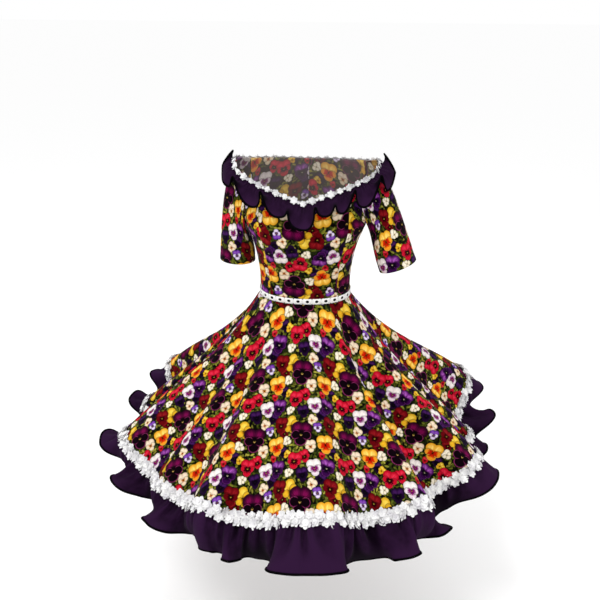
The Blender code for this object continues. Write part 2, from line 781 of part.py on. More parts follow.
def neck_edge(angle):
    """The frill's outer edge, through its lobes."""
    first = NECK_LOBES[0].angle
    angle = (np.asarray(angle, float) - first) % 360.0 + first
    lobes = NECK_LOBES + (NECK_LOBES[0]._replace(angle=first + 360.0),)
    knots = np.array([lobe.angle for lobe in lobes], float)
    point = neck_lobe_points(lobes, knots)
    ahead = torso(knots + SMALL_ANGLE, NECK_POINT_HEIGHT)
    behind = torso(knots - SMALL_ANGLE, NECK_POINT_HEIGHT)
    round_it = unit(ahead - behind)
    curl = np.array([lobe.curl for lobe in lobes])
    i = np.clip(np.searchsorted(knots, angle, side="right") - 1, 0, len(knots) - 2)
    seam = neck_band(knots, FRILL_SEAM, 0.0)
    gap = np.linalg.norm(seam[i + 1] - seam[i], axis=1)
    t = ((angle - knots[i]) / (knots[i + 1] - knots[i]))[:, None]
    return bezier(
        (
            point[i],
            point[i] + round_it[i] * (curl[i] * gap)[:, None],
            point[i + 1] - round_it[i + 1] * (curl[i + 1] * gap)[:, None],
            point[i + 1],
        ),
        t,
    )


def neck_frill_grid(angle, t):
    """Two flat rows under the lace, then rows that bend out to the lobes' edge."""
    off = CLOTH + NECK_GAP
    seam = neck_band(angle, FRILL_SEAM, off)
    flat = neck_band(angle, FRILL_FLAT, off + FRILL_LIFT + over_sleeve(angle))
    away = unit(flat - seam)
    out = neck_frame(angle)[2]
    edge = neck_edge(angle)
    reach = np.linalg.norm(edge - flat, axis=1)[:, None]
    middle = flat + away * reach * FRILL_AHEAD + out * reach * FRILL_OUT
    t = np.asarray(t, float)[:, None, None]
    bent = bezier((flat, middle, edge), t)
    return np.concatenate([seam[None], bent])


def neck_stations():
    marks = [lobe.angle for lobe in NECK_LOBES] + [NECK_LOBES[0].angle + 360.0]
    angles = []
    for a, b in zip(marks, marks[1:]):
        line = neck_edge(np.linspace(a, b, LENGTH_STEPS)[:-1])
        run = np.linalg.norm(np.diff(line, axis=0), axis=1).sum()
        pieces = max(2, round(run / NECK_COLUMN))
        angles += list(np.linspace(a, b, pieces + 1)[:-1])
    return np.array(angles)


def make_neck_frill():
    grid = neck_frill_grid(neck_stations(), NECK_FRILL_ROWS)
    out = grid_out(grid, True)
    thick("neck_ruffle", grid, out, FRILL_CLOTH, PURPLE, closed=True)
    make_binding("neck_ruffle_binding", grid, out[-1])


def make_neck_lace():
    """A band over the neckline with a scallop for each flower on both of its edges."""
    angle = np.linspace(-180.0, 180.0, 2 * NECK_FLOWERS, endpoint=False)
    dip = np.tile([NECK_SCALLOP, 0.0], NECK_FLOWERS)
    off = CLOTH + NECK_GAP + FRILL_CLOTH + LACE_GAP
    top = neck_band(angle, -NECK_LACE_ABOVE + dip, off)
    middle = neck_band(angle, (NECK_LACE_BELOW - NECK_LACE_ABOVE) / 2, off)
    bottom = neck_band(angle, NECK_LACE_BELOW - dip, off)
    grid = np.stack([top, middle, bottom])
    out = np.broadcast_to(neck_frame(angle)[2], grid.shape)
    cloth = np.full(grid.shape[:2] + (1,), LACE_CLOTH)
    cloth[1, 1::2] += NECK_FLOWER_RAISE
    thick("neck_lace", grid, out, cloth, LACE, closed=True)


# Waist trim

def waist_strip(columns_at, heights, off):
    """Grid of a band on the bodice, above the waist seam, at angles round the waist."""
    angle, height = np.meshgrid(columns_at, heights)
    out = torso_out(angle, height)
    return torso(angle, height) + out * off, out


def waist_angles(fractions, half):
    """Angles at fractions of the length of the front (half 0) or back (half 1) waist."""
    fine = np.linspace(-90.0, 90.0, LENGTH_STEPS) + 180.0 * half
    share = length_fractions(torso(fine, 0.0)[:, :2])
    return np.interp(fractions, share, fine)


def eyelet_columns(half):
    """Fractions of a half's length at its eyelets' edges, and the cells that are eyelets."""
    waist = waist_plan(np.linspace(0.0, 1.0, LENGTH_STEPS), half)
    share = EYELET_WIDTH / np.linalg.norm(np.diff(waist, axis=0), axis=1).sum()
    middles = (np.arange(EYELETS_EACH_HALF) + 0.5) / EYELETS_EACH_HALF
    edges = np.stack([middles - share / 2, middles + share / 2], 1).ravel()
    cells = [(1, 2 * k + 1) for k in range(EYELETS_EACH_HALF)]
    return np.concatenate([[0.0], edges, [1.0]]), cells


def make_waist():
    margin = (TRIM_WIDTH - EYELET_HEIGHT) / 2
    ribbon_off = CLOTH + LAYER_GAP
    angles = np.linspace(-180.0, 180.0, RIBBON_COLUMNS, endpoint=False)
    low = margin - RIBBON_COVER
    strip, out = waist_strip(angles, (TRIM_WIDTH - low, low), ribbon_off)
    thick("waist_ribbon", strip, out, TRIM_CLOTH, RIBBON, closed=True)
    heights = (TRIM_WIDTH, TRIM_WIDTH - margin, margin, 0.0)
    for half, name in enumerate(("waist_trim_front", "waist_trim_back")):
        fractions, holes = eyelet_columns(half)
        angles = waist_angles(fractions, half)
        strip, out = waist_strip(angles, heights, ribbon_off + TRIM_CLOTH + LAYER_GAP)
        strip = narrowed(strip, first_column=SEAM_GAP / 2, last_column=SEAM_GAP / 2)
        thick(name, strip, out, TRIM_CLOTH, TRIM, holes=holes)


def main():
    for obj in list(bpy.data.objects):
        bpy.data.objects.remove(obj, do_unlink=True)
    make_bodice()
    for sleeve in SLEEVES:
        make_sleeve(sleeve)
    stations = hem_stations()
    skirt = skirt_grid(stations, SKIRT_ROWS)
    skirt_out = grid_out(skirt, True)
    skirt_out[0] = unit(skirt_out[0] * [1.0, 1.0, 0.0])
    make_skirt(stations, skirt, skirt_out)
    make_hem(stations, skirt, skirt_out)
    make_neck_frill()
    make_neck_lace()
    make_waist()


main()
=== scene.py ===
"""The huasa dress as it looks: printed cloth with its creases, gathered frills with bound edges,
raised-flower lace, and an eyelet trim with its ribbon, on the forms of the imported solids.

Metres, +Z up, front towards -Y. Angles are in degrees from the centre front, positive towards +X.
"""

import math
from collections import namedtuple

import bpy
import numpy as np
from mathutils import Matrix, Vector


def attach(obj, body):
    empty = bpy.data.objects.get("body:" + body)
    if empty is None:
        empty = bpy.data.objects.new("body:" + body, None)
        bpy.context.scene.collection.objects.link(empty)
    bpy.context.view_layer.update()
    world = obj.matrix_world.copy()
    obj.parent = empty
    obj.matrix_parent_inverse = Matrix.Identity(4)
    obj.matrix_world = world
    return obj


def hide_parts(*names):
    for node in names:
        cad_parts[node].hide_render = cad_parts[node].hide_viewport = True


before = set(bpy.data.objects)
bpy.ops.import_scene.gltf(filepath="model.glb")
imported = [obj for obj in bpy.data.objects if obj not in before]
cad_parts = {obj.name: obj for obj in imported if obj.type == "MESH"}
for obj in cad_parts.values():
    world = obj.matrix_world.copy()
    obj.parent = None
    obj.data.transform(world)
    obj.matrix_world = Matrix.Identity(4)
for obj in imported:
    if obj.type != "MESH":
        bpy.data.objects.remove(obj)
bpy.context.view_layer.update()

# Walls and seams, as in the solids
CLOTH = 0.0015
SHEET = 0.0012
FRILL_CLOTH = 0.0012
SEAM_GAP = 0.0003
NECK_GAP = 0.0012
LAYER_GAP = 0.0006
SMALL_ANGLE = 0.5
SMALL_HEIGHT = 0.002
MM = 0.001

# Steps of the finely divided lines that lengths are read from
LENGTH_STEPS = 181
HALF_STEPS = 20 * LENGTH_STEPS
ROUND_STEPS = 40 * LENGTH_STEPS
NECK_STEPS = 12 * LENGTH_STEPS
NECK_LACE_STEPS = 8 * LENGTH_STEPS
TRIM_STEPS = 4 * LENGTH_STEPS

# Bodice and sleeves
SQUARENESS = 0.06
UNDERARM_HEIGHT = 0.190
NECK_POINT_HEIGHT = 0.260
FRONT_CORNER = 56.0
BACK_CORNER = 124.0
PRINCESS_TOP = 38.8
SHOULDER_SPREAD = 0.7
UNDERARM_LEAN = 0.65
CORNER_LEAN = 0.4
HEAD_FLARE = 1.3
HEAD_LEAN = 0.12
HEAD_PULL = 0.30
NECK_PULL = 0.20
CUFF_PULL = 0.45
FRONT_CORNER_TURN = 115.0

# Skirt and hem frill
WAIST_CUT_RADIUS = 0.1027
SKIRT_CLOTH = 0.518
HEM_RADIUS = 0.549
HEM_DROP = 0.389
HEM_DROP_SLOPE = 0.75
SKIRT_SAG = 0.030
BINDING_WIDTH = 0.005
BINDING_THICKNESS = 0.0034
NEAR_HEM = 0.97
FRILL_PULL = 0.5

# Neck frill and lace
FRILL_SEAM = 0.005
FRILL_FLAT = 0.0135
FRILL_LIFT = 0.0008
FRILL_AHEAD = 0.30
FRILL_OUT = 0.32
CLIMB_START = 12.0
CLIMB = 10.0

# Waist trim
TRIM_WIDTH = 0.0145
TRIM_CLOTH = 0.0010
EYELET_WIDTH = 0.0082
EYELET_HEIGHT = 0.0070
EYELETS_EACH_HALF = 14
RIBBON_COVER = 0.001

Ring = namedtuple("Ring", "height half_width front back")
TORSO = (
    Ring(0.000, 0.113, 0.084, 0.088),
    Ring(0.050, 0.113, 0.090, 0.090),
    Ring(0.100, 0.119, 0.106, 0.095),
    Ring(0.150, 0.131, 0.122, 0.100),
    Ring(0.190, 0.147, 0.122, 0.104),
    Ring(0.230, 0.155, 0.114, 0.107),
    Ring(0.270, 0.163, 0.106, 0.108),
    Ring(0.310, 0.168, 0.104, 0.108),
    Ring(0.345, 0.164, 0.098, 0.104),
)

NeckPoint = namedtuple("NeckPoint", "angle height")
NECKLINE = (
    NeckPoint(FRONT_CORNER, 0.313),
    NeckPoint(90.0, 0.333),
    NeckPoint(BACK_CORNER, 0.325),
    NeckPoint(180.0, 0.318),
)

SeamPoint = namedtuple("SeamPoint", "height angle")
PRINCESS_SEAM = (
    SeamPoint(0.000, 44.5),
    SeamPoint(0.100, 45.3),
    SeamPoint(0.165, 44.4),
    SeamPoint(0.235, 40.6),
    SeamPoint(0.300, PRINCESS_TOP),
)

Sleeve = namedtuple("Sleeve", "side cuff_centre tilt swing half_width half_depth")
SLEEVES = (
    Sleeve("left", (0.230, -0.020, 0.086), 22.0, 5.0, 0.046, 0.052),
    Sleeve("right", (-0.172, 0.000, 0.083), 4.0, 2.0, 0.043, 0.050),
)

Fold = namedtuple("Fold", "angle radius curl")
SKIRT_FOLDS = tuple(Fold(*row) for row in (
    (-158, 0.490, 0.60), (-146, 0.440, 0.60), (-138, 0.485, 0.60), (-129, 0.440, 0.60),
    (-119, 0.492, 0.60), (-106, 0.440, 0.70), (-95, 0.462, 0.60), (-84, 0.435, 0.70),
    (-71, 0.486, 0.60), (-51, 0.448, 0.55), (-42, 0.468, 0.50), (-34, 0.455, 0.50),
    (-21, 0.500, 0.50), (-12, 0.480, 0.60), (7, 0.512, 0.55), (25, 0.478, 0.75), (35, 0.502, 0.60),
    (48, 0.410, 0.80), (66, 0.485, 0.70), (79, 0.445, 0.60), (86, 0.456, 0.60), (93, 0.434, 0.60),
    (115, 0.512, 0.60), (127, 0.440, 0.60), (136, 0.485, 0.60), (146, 0.435, 0.60),
    (156, 0.490, 0.60), (167, 0.440, 0.60), (179, 0.495, 0.60), (190, 0.440, 0.60),
))
HEM_FOLDS = tuple(Fold(*row) for row in (
    (-158, 0.490, 0.62), (-149, 0.548, 0.62), (-140, 0.485, 0.62), (-131, 0.550, 0.62),
    (-123, 0.480, 0.62), (-115, 0.552, 0.75), (-109, 0.500, 0.75), (-101, 0.538, 0.75),
    (-90, 0.470, 0.80), (-74, 0.555, 0.85), (-65, 0.478, 0.90), (-56, 0.543, 0.90),
    (-48, 0.450, 0.90), (-35, 0.546, 0.90), (-28, 0.446, 0.85), (-20, 0.525, 0.80),
    (-17, 0.500, 0.70), (-13, 0.552, 0.80), (-10, 0.470, 0.95), (4.5, 0.588, 1.30),
    (19, 0.500, 1.00), (27, 0.578, 0.85), (35, 0.480, 0.90), (41, 0.532, 0.80), (51, 0.440, 0.80),
    (67, 0.542, 0.80), (79, 0.485, 0.70), (85, 0.510, 0.70), (91, 0.482, 0.70), (98, 0.552, 0.80),
    (105, 0.505, 0.75), (112, 0.574, 0.75), (120, 0.500, 0.62), (128, 0.550, 0.62),
    (137, 0.485, 0.62), (146, 0.550, 0.62), (155, 0.490, 0.62), (165, 0.548, 0.62),
    (175, 0.485, 0.62), (184, 0.550, 0.62), (193, 0.490, 0.62),
))

Lobe = namedtuple("Lobe", "angle stand rise curl")
NECK_LOBES = tuple(Lobe(*row) for row in (
    (-170, 0.034, -0.050, 0.80), (-158, 0.013, -0.038, 0.80), (-147, 0.034, -0.048, 0.80),
    (-136, 0.015, -0.038, 0.80), (-124, 0.036, -0.036, 0.80), (-113, 0.026, -0.026, 0.80),
    (-100, 0.014, 0.018, 0.70), (-90, 0.028, -0.010, 0.80), (-75, 0.030, -0.032, 0.80),
    (-64, 0.030, -0.028, 0.70), (-53, 0.034, 0.004, 0.65), (-39, 0.028, -0.045, 0.90),
    (-29, 0.034, 0.000, 0.60), (-18, 0.026, -0.041, 0.80), (-10.5, 0.028, -0.020, 0.60),
    (2, 0.032, -0.047, 1.00), (9, 0.030, -0.008, 0.60), (16.5, 0.026, -0.035, 0.75),
    (23, 0.030, -0.018, 0.55), (29.5, 0.026, -0.043, 0.75), (36, 0.034, 0.000, 0.60),
    (47.5, 0.031, -0.048, 0.90), (59, 0.034, 0.008, 0.65), (69, 0.037, -0.034, 0.75),
    (84, 0.036, -0.013, 0.80), (98, 0.016, 0.018, 0.70), (113, 0.034, -0.026, 0.80),
    (124, 0.036, -0.036, 0.80), (136, 0.015, -0.038, 0.80), (147, 0.034, -0.048, 0.80),
    (158, 0.013, -0.038, 0.80), (169, 0.034, -0.050, 0.80), (180, 0.013, -0.038, 0.80),
))

# The print's kinds of flower, in sRGB: the upper petals and their glow, the face petals and their
# rim, the blotch round the eye and how far it spreads, and the eye
Kind = namedtuple("Kind", "name upper glow face rim blotch spread eye")
KINDS = (
    Kind("burgundy", (58, 12, 44), (132, 20, 86), (34, 8, 30), (196, 78, 146),
         (22, 6, 18), 0.95, (250, 208, 120)),
    Kind("amber", (244, 182, 54), (252, 222, 126), (244, 164, 46), (252, 214, 100),
         (204, 44, 12), 0.60, (112, 28, 10)),
    Kind("scarlet", (200, 20, 50), (226, 62, 88), (202, 24, 54), (230, 74, 98),
         (52, 4, 14), 0.52, (244, 206, 88)),
    Kind("crimson", (116, 14, 24), (150, 34, 40), (110, 12, 22), (144, 36, 42),
         (52, 4, 10), 0.46, (246, 220, 90)),
    Kind("lilac", (234, 224, 222), (248, 242, 236), (234, 218, 226), (248, 242, 240),
         (134, 22, 112), 0.52, (238, 186, 60)),
    Kind("violet", (88, 26, 100), (178, 100, 190), (64, 16, 78), (138, 62, 150),
         (22, 8, 32), 0.56, (244, 236, 200)),
    Kind("cream", (234, 212, 184), (244, 232, 212), (236, 216, 184), (246, 236, 216),
         (200, 116, 26), 0.34, (116, 68, 20)),
    Kind("yellow", (230, 186, 54), (244, 218, 104), (226, 178, 48), (242, 210, 88),
         (170, 112, 24), 0.26, (164, 106, 20)),
    Kind("viola", (112, 58, 160), (152, 98, 190), (224, 212, 232), (168, 130, 200),
         (80, 24, 100), 0.40, (244, 194, 70)),
    Kind("white", (240, 230, 208), (248, 240, 222), (238, 228, 204), (248, 240, 222),
         (200, 180, 136), 0.22, (208, 184, 112)),
    Kind("bud", (196, 32, 48), (228, 82, 94), (190, 26, 44), (224, 74, 86),
         (112, 10, 24), 0.40, (132, 14, 28)),
    Kind("shade", (46, 20, 62), (82, 38, 104), (38, 14, 52), (68, 30, 84),
         (18, 8, 26), 0.56, (58, 26, 72)),
)

# One repeat of the print: each flower's place in it, half its width, its turn, and its layer from
# the front, all lengths in millimetres
REPEAT = (0.130, 0.160)
Bloom = namedtuple("Bloom", "kind x y size turn layer")
BLOOMS = tuple(Bloom(*row) for row in (
    ("burgundy", 34, 116, 27, -5, 0), ("amber", 96, 92, 21, 7, 0), ("scarlet", 18, 48, 18, -9, 0),
    ("lilac", 68, 32, 18, 12, 0), ("crimson", 108, 146, 18, -12, 0), ("viola", 76, 134, 11, 10, 0),
    ("yellow", 6, 140, 20, 32, 1), ("violet", 100, 34, 19, -14, 1), ("cream", 58, 84, 14, 8, 1),
    ("cream", 62, 152, 12, -30, 1), ("scarlet", 42, 58, 14, 24, 1), ("shade", 38, 14, 15, 10, 1),
    ("white", 126, 100, 11, 60, 1), ("bud", 88, 62, 8, 0, 1), ("yellow", 128, 66, 9, -40, 1),
    ("shade", 84, 6, 13, -30, 2), ("crimson", 118, 122, 13, 30, 2), ("white", 4, 20, 10, 100, 2),
    ("shade", 116, 72, 12, 15, 2),
))

# The petals of a flower one unit in half width: the middle and half sizes of each on one side
Petal = namedtuple("Petal", "x y half_width half_height")
UPPER_PETAL = Petal(0.40, 0.46, 0.62, 0.62)
SIDE_PETAL = Petal(0.52, -0.16, 0.44, 0.42)
LOWER_PETAL = Petal(0.00, -0.68, 0.56, 0.52)
EYE_HEIGHT = -0.16

# Stitched seams draw the cloth in, and creases fade towards their ends
SEAM_DIP = 0.0009
SEAM_SOFTNESS = 0.0022
CREASE_ENDS = 0.12

# Creases pressed into the cloth. Bodice places are (angle, height) in degrees and millimetres,
# sleeve places (turn round the sleeve, distance down it), and widths and depths are millimetres.
Crease = namedtuple("Crease", "start end width depth")
BODICE_CREASES = tuple(Crease(*row) for row in (
    ((84, 182), (58, 152), 5.0, -1.6), ((88, 168), (66, 128), 4.0, -1.1),
    ((-86, 184), (-60, 150), 5.5, -1.7), ((-90, 160), (-70, 122), 4.0, -1.0),
    ((-62, 30), (-30, 22), 3.5, -0.8), ((-84, 52), (-48, 40), 4.0, -1.0),
    ((30, 26), (66, 36), 3.5, -0.9), ((52, 58), (88, 66), 4.0, -1.0),
    ((-22, 96), (-40, 132), 5.0, -0.8), ((20, 90), (41, 128), 5.0, -0.8),
    ((100, 46), (140, 34), 4.5, -1.3), ((96, 78), (132, 70), 4.5, -1.0),
    ((-104, 42), (-146, 36), 4.5, -1.2), ((-98, 84), (-130, 72), 4.0, -1.0),
    ((122, 176), (150, 150), 5.0, -1.2), ((-120, 180), (-152, 152), 5.0, -1.3),
    ((150, 60), (176, 52), 4.0, -0.8), ((-148, 92), (-174, 88), 4.5, -0.8),
))
SLEEVE_CREASES = tuple(Crease(*row) for row in (
    ((20, 26), (100, 60), 5.0, -2.0), ((-25, 30), (-95, 66), 5.0, -2.2),
    ((30, 52), (86, 84), 4.5, -1.4), ((-40, 60), (-88, 92), 4.0, -1.2),
    ((120, 90), (150, 170), 5.0, -1.2), ((-130, 80), (-155, 165), 5.5, -1.2),
    ((60, 110), (95, 170), 5.0, -1.3), ((-70, 120), (-100, 175), 4.5, -1.1),
    ((165, 60), (178, 150), 6.0, -0.9), ((0, 60), (30, 96), 4.0, -1.3),
    ((-8, 84), (-44, 118), 4.0, -1.1),
))


# Small geometry helpers

def unit(vectors):
    return vectors / np.linalg.norm(vectors, axis=-1, keepdims=True)


def smooth_step(x):
    x = np.clip(x, 0.0, 1.0)
    return x * x * (3.0 - 2.0 * x)


def column(rows, name):
    """One named column of a table."""
    return np.array([getattr(row, name) for row in rows], float)


def between_knots(knots, at):
    """Which span between knots each place lies in, and its share of the way along it."""
    i = np.clip(np.searchsorted(knots, at, side="right") - 1, 0, len(knots) - 2)
    return i, (at - knots[i]) / (knots[i + 1] - knots[i])


def through(rows, place, value, at):
    """A smooth curve through two named columns of a table, read at any array of places."""
    places = column(rows, place)
    values = column(rows, value)
    slopes = np.gradient(values, places)
    i, t = between_knots(places, np.asarray(at, float))
    step = places[i + 1] - places[i]
    return (
        (2 * t**3 - 3 * t**2 + 1) * values[i]
        + (t**3 - 2 * t**2 + t) * step * slopes[i]
        + (3 * t**2 - 2 * t**3) * values[i + 1]
        + (t**3 - t**2) * step * slopes[i + 1]
    )


def bezier(points, t):
    """A Bezier curve of any degree, by repeated halving between its points."""
    points = [np.asarray(p, float) for p in points]
    while len(points) > 1:
        points = [a + (b - a) * t for a, b in zip(points, points[1:])]
    return points[0]


def come_round(rows, angle):
    """A closed edge's table with its first row again a turn on, and the angles within that turn."""
    first = rows[0].angle
    angle = (np.asarray(angle, float) - first) % 360.0 + first
    return rows + (rows[0]._replace(angle=first + 360.0),), angle


def rounded(point, along_it, curl, gap, i, t):
    """Points in the spans of a curve that passes each knot along its own direction."""
    handle = curl[i] * gap
    next_handle = curl[i + 1] * gap
    curve = (
        point[i],
        point[i] + along_it[i] * handle[..., None],
        point[i + 1] - along_it[i + 1] * next_handle[..., None],
        point[i + 1],
    )
    return bezier(curve, t[..., None])


def run_lengths(points):
    """Each point's distance from the first row, along the cloth."""
    steps = np.linalg.norm(np.diff(points, axis=0), axis=-1)
    return np.concatenate([np.zeros((1, *steps.shape[1:])), np.cumsum(steps, axis=0)])


def length_fractions(points):
    run = run_lengths(points)
    return run / run[-1]


def closed_length(edge):
    return run_lengths(np.concatenate([edge, edge[:1]]))[-1]


def wrapped(angle):
    return (np.asarray(angle, float) + 180.0) % 360.0 - 180.0


def grid_out(grid, closed):
    """Outward directions of a grid whose rows run down or out and whose columns run round."""
    if closed:
        round_it = np.roll(grid, -1, axis=1) - np.roll(grid, 1, axis=1)
    else:
        round_it = np.gradient(grid, axis=1)
    return unit(np.cross(np.gradient(grid, axis=0), round_it))


# The figure's surface and the neckline, as in the solids

def torso(angle, height):
    angle, height = np.broadcast_arrays(np.asarray(angle, float), np.asarray(height, float))
    width, front, back = (
        through(TORSO, "height", name, height) for name in ("half_width", "front", "back")
    )
    a = np.radians(angle)
    depth = np.where(np.cos(a) > 0, front, back)
    x = width * np.sin(a) * (1 + SQUARENESS * np.cos(a) ** 2)
    y = -depth * np.cos(a) * (1 + SQUARENESS * np.sin(a) ** 2)
    return np.stack([x, y, height], -1)


def torso_out(angle, height):
    around = torso(angle + SMALL_ANGLE, height) - torso(angle - SMALL_ANGLE, height)
    up = torso(angle, height + SMALL_HEIGHT) - torso(angle, height - SMALL_HEIGHT)
    return unit(np.cross(around, up))


def level_out(angle, height):
    return unit(torso_out(angle, height) * [1.0, 1.0, 0.0])


def neck_height(angle):
    a = np.abs(wrapped(angle))
    corner = NECKLINE[0]
    before = np.radians(np.minimum(a, corner.angle))
    share = np.sin(before) / math.sin(math.radians(corner.angle))
    front = NECK_POINT_HEIGHT + (corner.height - NECK_POINT_HEIGHT) * share
    rest = through(NECKLINE, "angle", "height", np.maximum(a, corner.angle))
    return np.where(a < corner.angle, front, rest)


def armhole(corner, q):
    """(angle, height) along one half of the armhole, from the underarm to its corner at the neck."""
    lean = (corner - 90.0) * UNDERARM_LEAN
    top = float(neck_height(corner))
    points = (
        (90.0, UNDERARM_HEIGHT),
        (90.0 + lean, UNDERARM_HEIGHT),
        (corner, UNDERARM_HEIGHT + CORNER_LEAN * (top - UNDERARM_HEIGHT)),
        (corner, top),
    )
    return bezier(points, np.asarray(q, float)[..., None])


def over_sleeve(angle):
    """How far the sleeve's laid-on edge lifts the trimmings, from nothing to a whole layer."""
    a = np.abs(wrapped(angle))
    front = smooth_step((a - FRONT_CORNER + CLIMB_START) / CLIMB)
    back = smooth_step((BACK_CORNER + CLIMB_START - a) / CLIMB)
    return (CLOTH + SEAM_GAP) * front * back


def neck_frame(angle):
    """Edge point, the cloth's direction away from the edge, and the outward direction."""
    height = neck_height(angle)
    edge = torso(angle, height)
    ahead = torso(angle + SMALL_ANGLE, neck_height(angle + SMALL_ANGLE))
    behind = torso(angle - SMALL_ANGLE, neck_height(angle - SMALL_ANGLE))
    fall = unit(edge - torso(angle, height + SMALL_HEIGHT))
    share = (np.abs(wrapped(angle)) - FRONT_CORNER) / (BACK_CORNER - FRONT_CORNER)
    spread = np.sin(np.pi * np.clip(share, 0.0, 1.0))[..., None] ** 2
    away = unit(fall + spread * level_out(angle, height) * SHOULDER_SPREAD)
    out = unit(np.cross(away, ahead - behind))
    return edge, away, out


def neck_band(angle, down, off):
    """Points on the strip of cloth next to the neckline, some way down it and some way off it."""
    edge, away, out = neck_frame(angle)
    down = np.asarray(down, float)[..., None]
    off = (off + over_sleeve(angle))[..., None]
    return edge + away * down + out * off


# Meshes and pieces

def grid_quads(rows, columns, closed=False):
    """The faces of a grid that faces outward, each as the numbers of its four points."""
    cells = columns if closed else columns - 1
    r, c = np.meshgrid(np.arange(rows - 1), np.arange(cells), indexing="ij")
    corners = ((0, 0), (1, 0), (1, 1), (0, 1))
    quads = [(r + i) * columns + (c + j) % columns for i, j in corners]
    return np.stack(quads, -1).reshape(-1, 4)


def grid_mesh(grid, uv, closed=False):
    """A sheet of quads with its lengths along the cloth as UVs. A closed sheet's UVs have its first
    column again at their end."""
    quads = grid_quads(*grid.shape[:2], closed)
    corners = grid_quads(*uv.shape[:2])
    return new_mesh(grid.reshape(-1, 3), quads.tolist(), uv.reshape(-1, 2)[corners])


def new_mesh(points, faces, corner_uv):
    mesh = bpy.data.meshes.new("cloth")
    mesh.from_pydata(points.tolist(), [], faces)
    layer = mesh.uv_layers.new(name="cloth")
    layer.data.foreach_set("uv", corner_uv.reshape(-1).astype(np.float32))
    mesh.shade_smooth()
    return mesh


def add_object(name, data):
    obj = bpy.data.objects.new(name, data)
    bpy.context.collection.objects.link(obj)
    return obj


def add_piece(node, part, mesh, slot, *materials):
    """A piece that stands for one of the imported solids."""
    obj = add_object(f"{node}_{part}", mesh)
    for material in materials:
        mesh.materials.append(material)
    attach(obj, "root")
    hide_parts(node)
    return obj


def give_thickness(obj, thickness):
    """The cloth's other side, inward of the shell, with the last material."""
    solidify = obj.modifiers.new("cloth", "SOLIDIFY")
    solidify.thickness = thickness
    solidify.offset = -1.0
    solidify.use_even_offset = False
    other = len(obj.data.materials) - 1
    solidify.material_offset = other
    solidify.material_offset_rim = other


def printed_piece(node, points, uv, cloths, closed=False):
    obj = add_piece(node, "cloth", grid_mesh(points, uv, closed), "print_cloth", *cloths)
    give_thickness(obj, SHEET)
    return obj


def creased(points, out, places, creases):
    """The points with each crease pressed in, where places are in metres along the cloth."""
    height = np.zeros(points.shape[:2])
    for crease in creases:
        run = crease.end - crease.start
        away = places - crease.start
        share = np.clip((away * run).sum(-1) / (run * run).sum(), 0.0, 1.0)
        distance = np.linalg.norm(away - share[..., None] * run, axis=-1)
        fade = np.sin(np.pi * (CREASE_ENDS + (1.0 - 2.0 * CREASE_ENDS) * share))
        height += crease.depth * fade * np.exp(-((distance / crease.width) ** 2))
    return points + out * height[..., None]


def crease_places(creases, place):
    """A table's creases in metres along the cloth, where place turns each end into metres."""
    return [
        Crease(place(*c.start), place(*c.end), c.width * MM, c.depth * MM) for c in creases
    ]


def sunk(points, out, distance, depth=SEAM_DIP):
    """The points with the cloth drawn in by a line of stitches at this distance from them."""
    dip = depth * np.exp(-((distance / SEAM_SOFTNESS) ** 2))
    return points - out * dip[..., None]


def cloth_lengths(points, grain):
    """Lengths along the cloth: round it from the grain column, and up it from the last row."""
    u = run_lengths(points.swapaxes(0, 1)).T
    v = run_lengths(points[::-1])[::-1]
    return np.stack([u - u[:, grain : grain + 1], v], -1)


def band_uv(length, columns, heights):
    """Lengths along a closed band: round it, and across it at each row's height."""
    u = np.arange(columns + 1) / columns * length
    return np.stack(np.broadcast_arrays(u, np.asarray(heights)[:, None]), -1)


def even_stations(line, count, start, steps):
    """Angles at even lengths along a closed line, which is given as a function of the angle."""
    fine = np.linspace(start, start + 360.0, steps)
    return np.interp(np.arange(count) / count, length_fractions(line(fine)), fine)


# Node materials

NOWHERE = (9.0, 9.0, 0.0)
BLACK = (0.0, 0.0, 0.0, 1.0)
WASH_GREY = (120, 112, 110)
WRONG_SIDE_WASH = 0.45
GROUND = (14, 12, 11)
LEAF_GREENS = (
    (30, 34, 18), (48, 56, 24), (72, 82, 30), (100, 108, 38), (132, 134, 52), (160, 156, 68)
)

# The print: noise scales and cells are to the metre, reaches are in petals or in half widths of a
# flower, and a range runs from where a change starts to where it ends
BLOOM_REACH = 1.25
WOBBLE_SCALE = 170.0
WOBBLE_DETAIL = 4.0
PRINT_WOBBLE = 0.0018
PRINT_GAMMA = 1.15
BLOOM_SHADOW = 0.35
BLOOM_SHADOW_REACH = 1.22
STREAKS = 9.0
STREAK_RANGE = (0.3, 0.7)
STREAK_SHADE = 0.86
GLOW_RANGE = (0.95, 0.2)
GLOW_STREAK = 0.3
UPPER_BLOTCH = 0.55
BLOTCH_STREAK = (-0.16, 0.14)
BLOTCH_EDGE = (-0.07, 0.07)
RIM_RANGE = (0.82, 0.95)
RIM_FROM_EYE = (0.26, 0.50)
RIM_STREAK = 0.35
EYE_RANGE = (0.13, 0.08)
PETAL_SHADOW = 0.3
PETAL_SHADOW_REACH = 1.25
PETAL_LINE_RANGE = (0.94, 1.0)
PETAL_LINE = 0.55
PETAL_SLOPE_RANGE = (0.30, 1.0)
PETAL_SLOPE = 0.80
PATCH_SCALE = 26.0
PATCH_RANGE = (0.38, 0.62)
PATCH_LIGHT = (0.55, 1.15)
LEAF_CELLS = 115.0
LEAF_LENGTH = 0.78
LEAF_WIDTH = 0.36
LEAF_LEAST_WIDTH = 0.001
LEAF_CUT = (1.04, 0.96)
RIB_RANGE = (0.04, 0.14)
RIB_LIGHT = 1.35
LEAF_EDGE_RANGE = (0.45, 1.0)
LEAF_EDGE_LIGHT = 0.4
UNDER_LEAF_CELLS = 95.0
UNDER_LEAF_SHIFT = (0.31, 0.17, 0.0)
UNDER_LEAF_LIGHT = 0.6

